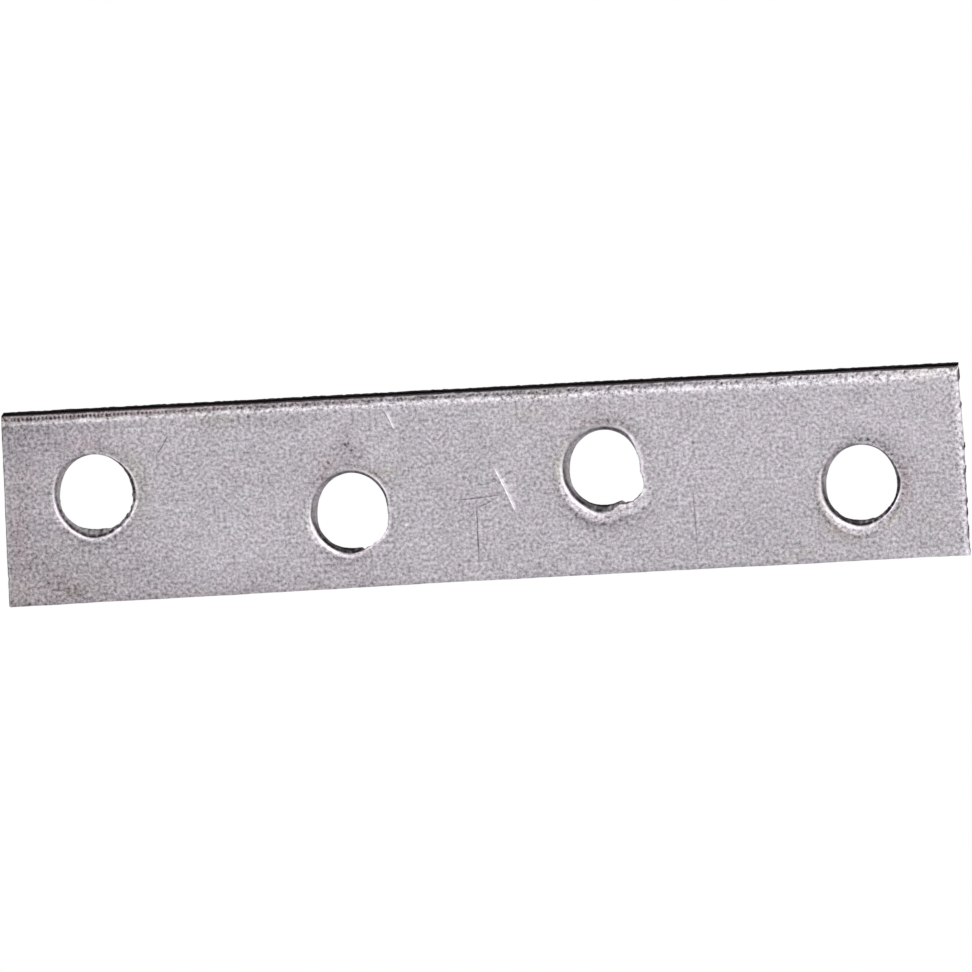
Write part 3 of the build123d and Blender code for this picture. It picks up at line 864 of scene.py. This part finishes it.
# painted highlights: on the hole rolls, speckled along the +X end's roll, and on the facet at the lower right corner
bare = np.maximum(bare, painted_shine)
bare = np.maximum(bare, on_rim * 0.40 * (1 - ramp(0.10, 0.60, gap_r)) * np.clip(0.45 + 1.3 * n2(X + 121.0, Y, 0.15, 0.19), 0, 1.8))
bare = np.maximum(bare, on_rim * 0.8 * blob(X, Y, BR[0] - 0.10, BR[1] + 0.28, 0.30, 0.36, 45))
soil = np.maximum(soil, on_rim * 0.6 * blob(X, Y, -31.76, -6.16, 0.14, 0.12))
smear = on_rim * burr(Y) * (1 - ramp(0.05, 0.16, gap_r)) * (gap_b > 0.15)
bare, soil = bare * (1 - smear), np.maximum(soil, 0.72 * smear)
# between the dark teeth the edge of the coat catches the light
k = np.round(X / PITCH_TEETH - 0.5)
tick = np.exp(-(((X - (k + 0.5) * PITCH_TEETH) / 0.055) ** 2)) * np.clip(0.35 + 0.9 * n3(k * 1.7, 7.5, 1.0), 0, 1.2)
tick = tick * gauss(gap_t, 0.23, 0.09) * np.interp(X, (-32, -31, -24, -12, 4, 18, 29, 30), (0.0, 0.5, 0.5, 0.35, 0.6, 1.0, 1.0, 0.3))
bare = np.maximum(bare, on_rim * tick)
# speckle of the rims: how much more uneven than the face they are
rim = on_rim * (gauss(gap_t, 0.46, 0.34) * np.interp(X, (-32, -22, -8, 32), (0.0, 0.3, 0.9, 1.0)) + 0.8 * (1 - ramp(0.1, 1.0, gap_r)))

# the tone field: slow light and dark of the zinc coat together with painted light and shade; yellow-brown stain and
# pink stain
tone = np.zeros(len(X))
# painted light and shade across the plate: the left end darker, the upper right lighter, the lower left darker
tone -= 0.110 * (1 - ramp(-32, -25, X))
tone += 0.035 * ramp(14, 31, X) * ramp(-4, 5, Y)
tone -= 0.08 * (1 - ramp(-6.2, -2.5, Y)) * (1 - 0.9 * ramp(-16, 4, X))
# painted highlight on the bottom roll near the lower right corner
tone += 0.11 * ramp(24, 29, X) * (1 - ramp(0.2, 0.8, gap_b))
# painted shade in patches round each hole: angle in degrees, distance out, amount, spread
for h, spots in zip(HOLES, (
    ((50, 0.55, 0.06, 42), (5, 0.75, 0.05, 40), (262, 0.85, 0.09, 36)),
    ((115, 0.60, 0.10, 30), (262, 0.75, 0.12, 34), (150, 0.5, 0.04, 30)),
    ((85, 0.55, 0.10, 46), (268, 1.20, 0.19, 36), (40, 0.7, 0.03, 30)),
    ((70, 0.45, 0.14, 46), (12, 0.60, 0.13, 36), (268, 0.95, 0.09, 36), (205, 0.95, 0.05, 26)),
)):
    e, th = hole_polar(h, X, Y)
    for deg, out, amount, spread in spots:
        dd = (np.degrees(th) - deg + 180) % 360 - 180
        tone -= amount * np.exp(-((dd / spread) ** 2)) * gauss(e, out, 0.50) * (e > -0.3)
tone -= 0.19 * blob(X, Y, -8.75, 2.65, 0.95, 0.65) + 0.12 * blob(X, Y, -8.85, 3.55, 0.35, 0.60)
tone -= 0.10 * blob(X, Y, -10.5, 2.1, 0.35, 0.3) + 0.07 * blob(X, Y, -30.55, 0.7, 0.55, 2.6)
tone += 0.05 * blob(X, Y, -11, -3.6, 5, 1.5) + 0.04 * blob(X, Y, -16.5, -3, 3, 2)
tone += 0.05 * blob(X, Y, 17, 1.5, 7, 4)
for h in HOLES:
    e, th = hole_polar(h, X, Y)
    bb = by_hour(h["b"], th)
    end = bb + by_hour(h["w"], th)
    tone -= 0.20 * by_hour(h["q"], th) * gauss(e, end + 0.13, 0.15) * (e > end - 0.02)
    rim = rim + 0.30 * gauss(e, bb * 0.8, 0.35) * on_rim
# painted highlight on hole 4's roll at about half past four, with painted shade nearer the mouth
e, th = hole_polar(HOLES[3], X, Y)
gap = np.exp(-((((clock(th) - 4.3 + 6) % 12 - 6) / 0.9) ** 2))
tone += gap * (0.14 * gauss(e, 0.78, 0.14) - 0.20 * gauss(e, 0.43, 0.11))
# the +Y roll: a dull mottled strip between the wall and the bright ridge, fading towards +X
fade = np.interp(X, (-32, -24, -16, -6, 5, 14, 22, 28, 32), (0.10, 0.14, 0.22, 0.24, 0.18, 0.08, 0.00, 0.00, 0.00))
strip = ramp(0.12, 0.24, gap_t) * (1 - ramp(0.34, 0.46, gap_t))
mottle = n3(X, gap_t + 131.0, 0.15, 0.11) + 0.5 * n2(X, gap_t + 133.0, 0.33, 0.2)
tone -= strip * (fade * (1 + 0.40 * mottle) + 0.18 * mottle * ramp(-24, -10, X))
tone += 0.04 * ramp(14, 28, X) * (1 - ramp(0.45, 0.70, gap_t))
tone += gauss(gap_t, 0.56, 0.20) * (0.16 * n1(X, gap_t + 137.0, 0.16, 0.14) + 0.12 * n4(X, gap_t + 139.0, 0.7, 0.3))
# painted shade at the top left and lower left, and a little painted light at the upper right
tone -= 0.17 * blob(X, Y, -31.5, 4.9, 6, 1.8) + 0.10 * (1 - ramp(-27, -18, X)) * (1 - ramp(-3.5, 0.5, Y)) - 0.05 * blob(X, Y, 28.5, 5.7, 2.5, 0.5)
tone -= gauss(gap_t, 0.78, 0.20) * np.interp(X, (-32, -29, -22, -14), (0.16, 0.10, 0.05, 0.0))
tone -= 0.13 * gauss(gap_t, 1.15, 0.38) * ramp(-20, -18, X) * (1 - ramp(-11, -9, X))
tone -= 0.11 * blob(X, Y, -10.5, -5.0, 0.9, 0.8) + 0.11 * blob(X, Y, -23.4, -1.8, 0.7, 0.9) + 0.10 * blob(X, Y, 25.5, 4.9, 1.5, 0.7)
tone -= 0.10 * blob(X, Y, 22.7, -2.8, 0.7, 0.7) + 0.10 * blob(X, Y, -6.2, -2.6, 0.6, 0.8)
tone += 0.12 * blob(X, Y, -30.8, -5.3, 1.2, 0.8) + 0.06 * blob(X, Y, 31.2, 5.7, 0.6, 0.5)
# painted shade along the very left edge, and a faint darker line a millimetre in from the +Y side at the left
tone -= 0.10 * (1 - ramp(0.03, 0.10, gap_l)) + 0.06 * gauss(gap_t, 1.0, 0.16) * (1 - ramp(-26, -8, X))
tone *= on_top
stain = 0.25 * blob(X, Y, -23.0, 2.5, 1.0, 2.2, 30) + 0.25 * blob(X, Y, -22.8, 0.2, 0.6, 2.0) + 0.5 * blob(X, Y, -31.2, -5.4, 1.0, 1.0)
stain += 0.30 * blob(X, Y, -28.0, -3.4, 2.2, 1.3, 10) + 0.25 * blob(X, Y, -25.6, -5.3, 1.2, 0.5, 14)
arc = gauss(Y + 5.70 - 0.42 * (X + 27.55) ** 2, 0, 0.24) * gauss(X, -27.62, 0.75)
stain, tone = stain + 1.2 * arc, tone - 0.22 * arc * on_top
stain += 0.40 * blob(X, Y, -17.3, 5.2, 1.4, 0.6) + 0.35 * blob(X, Y, 20.8, -5.6, 1.5, 0.5)
stain += 0.35 * blob(X, Y, 29.8, 6.0, 2.2, 0.5) + 0.35 * blob(X, Y, 4.2, 6.0, 1.4, 0.45) + 0.24 * blob(X, Y, 29.6, -4.3, 1.1, 1.1, 20) + 0.12 * blob(X, Y, 30.6, 2.6, 0.9, 2.2)
stain += 0.15 * blob(X, Y, -30.9, 0.9, 0.9, 1.8) + 0.22 * blob(X, Y, -28.7, 1.3, 0.8, 1.1) + 0.3 * blob(X, Y, 23.2, -4.4, 1.0, 0.6, -40)
stain += 0.45 * blob(X, Y, -6.0, 1.2, 0.8, 0.5, -40) + 0.15 * blob(X, Y, -11.9, -1.9, 0.45, 1.2)
stain += 0.35 * blob(X, Y, 3.2, 4.6, 1.2, 0.7) + 0.25 * blob(X, Y, 5.0, 0.6, 0.5, 1.8)
pink = 0.7 * blob(X, Y, -30.9, -2.6, 0.75, 3.3) + 0.20 * blob(X, Y, -30.4, 2.6, 0.9, 2.0) + 0.20 * blob(X, Y, -25, -4.6, 2.4, 0.9) + 0.60 * blob(X, Y, -28.8, -5.0, 1.2, 1.0)
pink += 0.45 * blob(X, Y, -26.5, 4.2, 1.6, 0.7) + 0.6 * blob(X, Y, -10.3, 2.0, 0.6, 0.45) + 0.5 * blob(X, Y, 28.0, -1.6, 0.4, 1.9)
pink += 0.3 * blob(X, Y, 8.1, 4.0, 1.6, 0.5) + 0.25 * blob(X, Y, 8.0, -2.9, 2.2, 0.6)
pink += 0.22 * blob(X, Y, -23.5, -2.4, 0.9, 1.2) + 0.20 * blob(X, Y, -9.3, -4.4, 1.8, 1.1) + 0.35 * blob(X, Y, -11.9, -6.2, 0.8, 0.4) + 0.18 * blob(X, Y, -8.6, 3.5, 0.9, 0.9)
pink += 0.10 * (1 - ramp(-30, -20, X)) + 0.25 * (1 - ramp(0.2, 1.2, gap_b)) * (1 - ramp(-12, 0, X))
# brown along the +Y roll, mostly to the left of the middle
pink += gauss(gap_t, 0.22, 0.17) * (1 - ramp(-20, 2, X)) * (0.9 + 0.6 * n2(X, 141.0, 0.9))
stain += gauss(gap_t, 0.40, 0.30) * (1 - ramp(-22, -2, X)) * (0.20 + 0.3 * n1(X, 143.0, 0.8)) + gauss(gap_t, 0.35, 0.25) * np.maximum(0.25 * n1(X, 145.0, 0.7), 0)
# rust tints round the holes: hole, hour, how far out, how wide, how long, amount of red and of yellow
for hi, hour, out, wide, long, red, yellow in (
    (0, 1.5, 0.55, 0.30, 1.1, 0.0, 0.25), (0, 3.5, 0.60, 0.30, 1.3, 0.0, 0.15), (0, 7.5, 0.40, 0.25, 0.9, 0.35, 0.0),
    (1, 10.7, 0.60, 0.25, 0.5, 0.7, 0.0), (1, 11.2, 0.95, 0.20, 0.4, 0.5, 0.0), (1, 0.8, 0.55, 0.25, 0.8, 0.1, 0.5),
    (1, 8.6, 0.60, 0.25, 0.8, 0.0, 0.20), (1, 5.4, 0.12, 0.20, 0.30, 0.5, 0.1),
    (2, 0.0, 0.75, 0.25, 1.6, 0.15, 0.3), (2, 9.4, 0.70, 0.22, 1.0, 0.0, 0.5), (2, 6.2, 0.70, 0.22, 0.9, 0.15, 0.0), (2, 5.2, 0.12, 0.20, 0.3, 0.6, 0.2),
    (3, 3.2, 0.72, 0.14, 1.0, 0.45, 0.2), (3, 4.6, 0.60, 0.20, 0.5, 0.2, 0.6), (3, 8.0, 0.55, 0.25, 1.0, 0.2, 0.5), (3, 10.0, 0.35, 0.20, 1.2, 0.4, 0.1),
    (3, 6.6, 1.0, 0.35, 1.0, 0.4, 0.3),
):
    e, th = hole_polar(HOLES[hi], X, Y)
    gap = (clock(th) - hour + 6) % 12 - 6
    spot = gauss(e, out, wide) * np.exp(-((gap / long) ** 2))
    pink, stain = pink + red * spot, stain + yellow * spot
stain, pink = np.clip(stain, 0, 1) * on_top, np.clip(pink, 0, 1) * on_top
for key, val in (("wall", wall), ("torn", torn), ("bare", bare), ("soil", soil), ("tone", tone), ("stain", stain), ("pink", pink),
                 ("rim", np.clip(rim, 0, 1))):
    layer = mesh.attributes.new("zp_" + key, "FLOAT", "POINT")
    layer.data.foreach_set("value", np.asarray(val, np.float32))
mesh.polygons.foreach_set("use_smooth", np.ones(len(mesh.polygons), bool))
mesh.set_sharp_from_angle(angle=math.radians(50))
mesh.update()

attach(plate, "root")
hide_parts("mending_plate")


# ------------------------------------------------------------------- material
class Nodes:
    """A short way to write a node tree."""

    def __init__(self, tree):
        self.t = tree
        self.t.nodes.clear()

    def new(self, kind, **inputs):
        n = self.t.nodes.new(kind)
        for k, v in inputs.items():
            k = int(k[1:]) if k[0] == "_" and k[1:].isdigit() else k.replace("_", " ")
            self.put(n.inputs[k], v)
        return n

    def put(self, socket, v):
        if isinstance(v, bpy.types.NodeSocket):
            self.t.links.new(v, socket)
        else:
            socket.default_value = v

    def math(self, op, a, b=None, c=None, clamp=False):
        n = self.t.nodes.new("ShaderNodeMath")
        n.operation, n.use_clamp = op, clamp
        for i, v in enumerate((a, b, c)):
            if v is not None:
                self.put(n.inputs[i], v)
        return n.outputs[0]

    def vec(self, op, a, b=None, scale=None):
        n = self.t.nodes.new("ShaderNodeVectorMath")
        n.operation = op
        self.put(n.inputs[0], a)
        if b is not None:
            self.put(n.inputs[1], b)
        if scale is not None:
            self.put(n.inputs["Scale"], scale)
        return n.outputs["Value"] if op in ("DOT_PRODUCT", "LENGTH") else n.outputs["Vector"]

    def attr(self, name):
        n = self.t.nodes.new("ShaderNodeAttribute")
        n.attribute_type, n.attribute_name = "GEOMETRY", name
        return n.outputs["Fac"]

    def noise(self, vector, scale, detail=2.0, rough=0.5, dims="3D", lac=2.0):
        n = self.t.nodes.new("ShaderNodeTexNoise")
        n.noise_dimensions = dims
        self.put(n.inputs["Vector"], vector)
        n.inputs["Scale"].default_value = scale
        n.inputs["Detail"].default_value = detail
        n.inputs["Roughness"].default_value = rough
        n.inputs["Lacunarity"].default_value = lac
        return n.outputs["Fac"], n.outputs["Color"]

    def span(self, v, a, b, c, d, kind="LINEAR"):
        n = self.t.nodes.new("ShaderNodeMapRange")
        n.interpolation_type = kind
        for i, x in enumerate((v, a, b, c, d)):
            self.put(n.inputs[i], x)
        return n.outputs[0]

    def mix(self, fac, a, b, mode="MIX"):
        n = self.t.nodes.new("ShaderNodeMix")
        n.data_type, n.blend_type, n.clamp_factor = "RGBA", mode, True
        self.put(n.inputs[0], fac)
        self.put(n.inputs[6], a)
        self.put(n.inputs[7], b)
        return n.outputs[2]


zinc = bpy.data.materials.new("zinc_plated_steel")
zinc.use_nodes = True
N = Nodes(zinc.node_tree)
obj = N.new("ShaderNodeTexCoord").outputs["Object"]
pos = N.vec("SCALE", obj, scale=1000.0)                       # object millimetres
wall_a, torn_a, bare_and_highlight_a, soil_and_shade_a, tone_and_light_a, stain_a, pink_a, rim_a = (N.attr("zp_" + k) for k in ("wall", "torn", "bare", "soil", "tone", "stain", "pink", "rim"))

grain, grain_c = N.noise(pos, 4.5, 1.0, 0.5)                  # crystals of the coat, about a fifth of a millimetre
fine_n, fine_c = N.noise(pos, 10.0, 1.0, 0.5)
mid, mid_c = N.noise(N.vec("ADD", pos, (7.3, 1.1, 0.0)), 1.15, 3.0, 0.55)
slow, slow_c = N.noise(N.vec("ADD", pos, (3.1, 9.7, 0.0)), 0.22, 2.0, 0.5)

# brightness factor of the coat
speck = N.math("MULTIPLY", N.math("SUBTRACT", grain, 0.5), 1.62)
speck = N.math("ADD", speck, N.math("MULTIPLY", N.math("SUBTRACT", fine_n, 0.5), 0.70))
calm = N.math("MAXIMUM", N.math("SUBTRACT", N.math("ADD", 1.0, N.math("MULTIPLY", rim_a, 0.6)), N.math("MULTIPLY", bare_and_highlight_a, 0.75)), 0.25)
speck = N.math("MULTIPLY", speck, calm)
speck = N.math("SUBTRACT", speck, N.math("MULTIPLY", N.math("MULTIPLY", speck, speck), 0.15))
lift = N.math("MULTIPLY", N.math("SUBTRACT", mid, 0.5), 0.24)
lift = N.math("ADD", lift, N.math("MULTIPLY", N.math("SUBTRACT", slow, 0.5), 0.14))
# the tone field carries its painted light and shade into the coat
lift = N.math("ADD", lift, tone_and_light_a)
# bare zinc and painted highlights brighten the coat
lift = N.math("ADD", lift, N.math("MULTIPLY", bare_and_highlight_a, 0.42))
factor = N.math("ADD", 1.0, lift)

base = (0.655, 0.616, 0.665, 1)
col = N.mix(N.math("MULTIPLY", stain_a, N.span(mid, 0.3, 0.7, 0.7, 1.0)), base, (0.610, 0.585, 0.510, 1))
col = N.mix(N.math("MULTIPLY", pink_a, 0.9), col, (0.650, 0.550, 0.580, 1))
warm = N.span(N.noise(N.vec("ADD", pos, (21.0, 4.0, 0.0)), 1.3, 1.0, 0.5)[0], 0.3, 0.7, 0.0, 1.0)
cool = N.span(N.noise(N.vec("ADD", pos, (5.0, 33.0, 0.0)), 1.5, 1.0, 0.5)[0], 0.3, 0.7, 0.0, 1.0)
col = N.mix(1.0, col, N.mix(warm, (1.014, 0.992, 1.003, 1), (0.987, 1.006, 0.997, 1)), "MULTIPLY")
col = N.mix(1.0, col, N.mix(cool, (1.000, 0.998, 1.007, 1), (1.000, 1.002, 0.993, 1)), "MULTIPLY")
combine = N.new("ShaderNodeCombineXYZ", X=factor, Y=factor, Z=factor)
col = N.mix(1.0, col, combine.outputs[0], "MULTIPLY")
# the crystals differ in grey more than in hue
col = N.vec("ADD", col, N.vec("SCALE", (0.640, 0.618, 0.642), scale=speck))
col = N.vec("MINIMUM", N.vec("MAXIMUM", col, (0.06, 0.06, 0.06)), (0.97, 0.97, 0.97))
# sheared walls: steel, greyer and torn in the matt zone
steel = N.mix(torn_a, (0.425, 0.392, 0.402, 1), (0.665, 0.622, 0.622, 1))
patch = N.span(N.noise(N.vec("ADD", pos, (0.0, 0.0, 5.0)), 5.0, 2.0, 0.6)[0], 0.32, 0.68, 0.62, 1.12)
steel = N.mix(1.0, steel, N.new("ShaderNodeCombineXYZ", X=patch, Y=patch, Z=patch).outputs[0], "MULTIPLY")
col = N.mix(N.math("MULTIPLY", wall_a, 0.85), col, steel)
# dirt and painted shade darken the colour almost to black
col = N.mix(N.math("MULTIPLY", soil_and_shade_a, 0.94), col, (0.055, 0.040, 0.044, 1))

rough = N.span(N.math("ADD", N.math("MULTIPLY", mid, 0.6), N.math("MULTIPLY", grain, 0.4)), 0.3, 0.7, 0.36, 0.46)
rough = N.math("ADD", rough, N.math("MULTIPLY", torn_a, 0.22))
rough = N.math("SUBTRACT", rough, N.math("MULTIPLY", N.math("MULTIPLY", soil_and_shade_a, wall_a), 0.16))
rough = N.math("SUBTRACT", rough, N.math("MULTIPLY", bare_and_highlight_a, 0.10), clamp=True)

height = N.math("ADD", N.math("MULTIPLY", grain, 0.65), N.math("MULTIPLY", fine_n, 0.20))
height = N.math("ADD", height, N.math("MULTIPLY", mid, 0.8))
bump = N.new("ShaderNodeBump", Height=height)
bump.inputs["Strength"].default_value = 1.0
bump.inputs["Distance"].default_value = 0.000014
tear_pos = N.vec("MULTIPLY", pos, (1.0, 1.0, 0.35))
tear, _ = N.noise(tear_pos, 5.0, 3.0, 0.6)
bump2 = N.new("ShaderNodeBump", Height=N.math("MULTIPLY", tear, torn_a), Normal=bump.outputs[0])
bump2.inputs["Strength"].default_value = 1.0
bump2.inputs["Distance"].default_value = 0.00008

shader = N.new("ShaderNodeBsdfPrincipled", Base_Color=col, Roughness=rough, Normal=bump2.outputs[0])
N.put(shader.inputs["Metallic"], N.math("SUBTRACT", 1.0, N.math("MULTIPLY", torn_a, 0.88)))
out = N.new("ShaderNodeOutputMaterial")
N.t.links.new(shader.outputs[0], out.inputs["Surface"])
mesh.materials.append(zinc)


# ---------------------------------------------------------------- camera
LENS, SENSOR, SIZE = 800.0, 36.0, 972
SCALE = 15.09                                    # picture points per millimetre at the target
d = np.array([math.sin(math.radians(4.2)), math.sin(math.radians(7.8)), 0.0])
d[2] = math.sqrt(1 - d[0] ** 2 - d[1] ** 2)      # from the plate to the camera
r = np.array([1.0, 0, 0]) - d[0] * d
r /= np.linalg.norm(r)
u = np.cross(d, r)
turn = math.radians(3.08)
r2, u2 = math.cos(turn) * r - math.sin(turn) * u, math.sin(turn) * r + math.cos(turn) * u
target = np.array([0.083, -0.317, 0.0])
eye = (target + d * (LENS / SENSOR * SIZE / SCALE)) * MM
cam_data = bpy.data.cameras.new("camera")
cam_data.lens, cam_data.sensor_width, cam_data.sensor_fit = LENS, SENSOR, "HORIZONTAL"
cam_data.clip_start, cam_data.clip_end = 0.01, 50.0
cam = bpy.data.objects.new("camera", cam_data)
bpy.context.scene.collection.objects.link(cam)
cam.matrix_world = Matrix(((r2[0], u2[0], d[0], eye[0]), (r2[1], u2[1], d[1], eye[1]), (r2[2], u2[2], d[2], eye[2]), (0, 0, 0, 1)))
bpy.context.scene.camera = cam

# ---------------------------------------------------------------- floor
floor_mesh = bpy.data.meshes.new("floor")
S = 3.0
floor_mesh.from_pydata([(-S, -S, -0.00002), (S, -S, -0.00002), (S, S, -0.00002), (-S, S, -0.00002)], [], [(0, 1, 2, 3)])
floor = bpy.data.objects.new("floor", floor_mesh)
bpy.context.scene.collection.objects.link(floor)
paper = bpy.data.materials.new("white_paper")
paper.use_nodes = True
P = Nodes(paper.node_tree)
glow = P.new("ShaderNodeEmission", Color=(1, 1, 1, 1), Strength=1.0)
clear = P.new("ShaderNodeBsdfTransparent", Color=(1, 1, 1, 1))
geo = P.new("ShaderNodeNewGeometry")
mixed = P.t.nodes.new("ShaderNodeMixShader")
P.t.links.new(geo.outputs["Backfacing"], mixed.inputs[0])
P.t.links.new(glow.outputs[0], mixed.inputs[1])
P.t.links.new(clear.outputs[0], mixed.inputs[2])
pout = P.new("ShaderNodeOutputMaterial")
P.t.links.new(mixed.outputs[0], pout.inputs["Surface"])
floor_mesh.materials.append(paper)
floor.visible_diffuse = False
floor.visible_glossy = False
floor.visible_transmission = False
floor.visible_shadow = False
floor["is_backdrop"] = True

# ---------------------------------------------------------------- light
world = bpy.data.worlds.new("studio")
bpy.context.scene.world = world
world.use_nodes = True
W = Nodes(world.node_tree)
way = W.vec("NORMALIZE", W.new("ShaderNodeTexCoord").outputs["Generated"])


def heading(zenith, hour):
    """Direction at so many degrees from straight up, towards a clock hour (12 is +Y, 3 is +X)."""
    z, a = math.radians(zenith), math.radians(90 - 30 * hour)
    return (math.sin(z) * math.cos(a), math.sin(z) * math.sin(a), math.cos(z))


def lobe(direction, sharp, amount):
    dot = W.vec("DOT_PRODUCT", way, direction)
    e = W.math("EXPONENT", W.math("MULTIPLY", W.math("SUBTRACT", dot, 1.0), sharp))
    return W.math("MULTIPLY", e, amount)


LOBES = [
    (heading(35, 1.1), 16.0, 2.1),
    (heading(41, 10.2), 17.0, 1.9),
    (heading(34, 3.2), 17.0, 1.3),
    (heading(48, 7.8), 17.0, 1.3),
    (heading(40, 5.8), 22.0, 0.30),
]
light = 0.2385
for direction, sharp, amount in LOBES:
    light = W.math("ADD", light, lobe(direction, sharp, amount))
sep = W.new("ShaderNodeSeparateXYZ", Vector=way)
fade = W.span(sep.outputs["Z"], 0.02, 0.58, 0.0, 1.0, "SMOOTHSTEP")
light = W.math("MULTIPLY", light, fade)
low = W.math("MULTIPLY", lobe(heading(78, 4.6), 2.6, 0.40), W.math("SUBTRACT", 1.0, fade))
low = W.math("MULTIPLY", low, W.span(sep.outputs["Z"], -0.55, 0.0, 0.0, 1.0, "SMOOTHSTEP"))
light = W.math("ADD", light, low)
# under the horizon: a dim belt for what leans over, and dark straight below
belt = W.math("MULTIPLY", W.span(sep.outputs["Z"], -0.90, -0.62, 0.0, 1.0, "SMOOTHSTEP"), W.span(sep.outputs["Z"], -0.30, -0.10, 1.0, 0.0, "SMOOTHSTEP"))
light = W.math("ADD", light, W.math("MULTIPLY", belt, 0.22))
light = W.math("ADD", light, 0.004)
path = W.new("ShaderNodeLightPath")
shown = W.t.nodes.new("ShaderNodeMix")
shown.data_type = "FLOAT"
W.put(shown.inputs[0], path.outputs["Is Camera Ray"])
W.put(shown.inputs[2], light)
W.put(shown.inputs[3], 1.0)
bg = W.new("ShaderNodeBackground", Color=(1, 1, 1, 1), Strength=shown.outputs[0])
wout = W.new("ShaderNodeOutputWorld")
W.t.links.new(bg.outputs[0], wout.inputs["Surface"])

# one soft lamp above the right end, so that the plate brightens towards it
lamp_data = bpy.data.lights.new("softbox", "AREA")
lamp_data.shape, lamp_data.size, lamp_data.size_y = "RECTANGLE", 0.12, 0.12
lamp_data.energy = 0.010
lamp = bpy.data.objects.new("softbox", lamp_data)
bpy.context.scene.collection.objects.link(lamp)
lamp_at = Vector((0.030, 0.010, 0.26))
aim = Vector((0.030, 0.010, 0.0))
lamp.location = lamp_at
lamp.rotation_mode = "QUATERNION"
lamp.rotation_quaternion = (lamp_at - aim).to_track_quat("Z", "Y")

# what the pale floor throws back up, for matt surfaces only
bounce_data = bpy.data.lights.new("bounce", "AREA")
bounce_data.shape, bounce_data.size, bounce_data.size_y = "RECTANGLE", 0.30, 0.30
bounce_data.energy = 0.25
bounce = bpy.data.objects.new("bounce", bounce_data)
bpy.context.scene.collection.objects.link(bounce)
bounce.location = (0.0, 0.0, -0.05)
bounce.rotation_euler = (math.pi, 0.0, 0.0)
bounce.visible_camera = False
bounce.visible_glossy = False

scene = bpy.context.scene
scene.view_settings.view_transform = "Standard"
scene.view_settings.look = "None"
scene.view_settings.exposure = 0.0
scene.view_settings.gamma = 1.0

print("faces as triangles", sum(len(f.vertices) - 2 for f in mesh.polygons))
lo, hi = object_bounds()
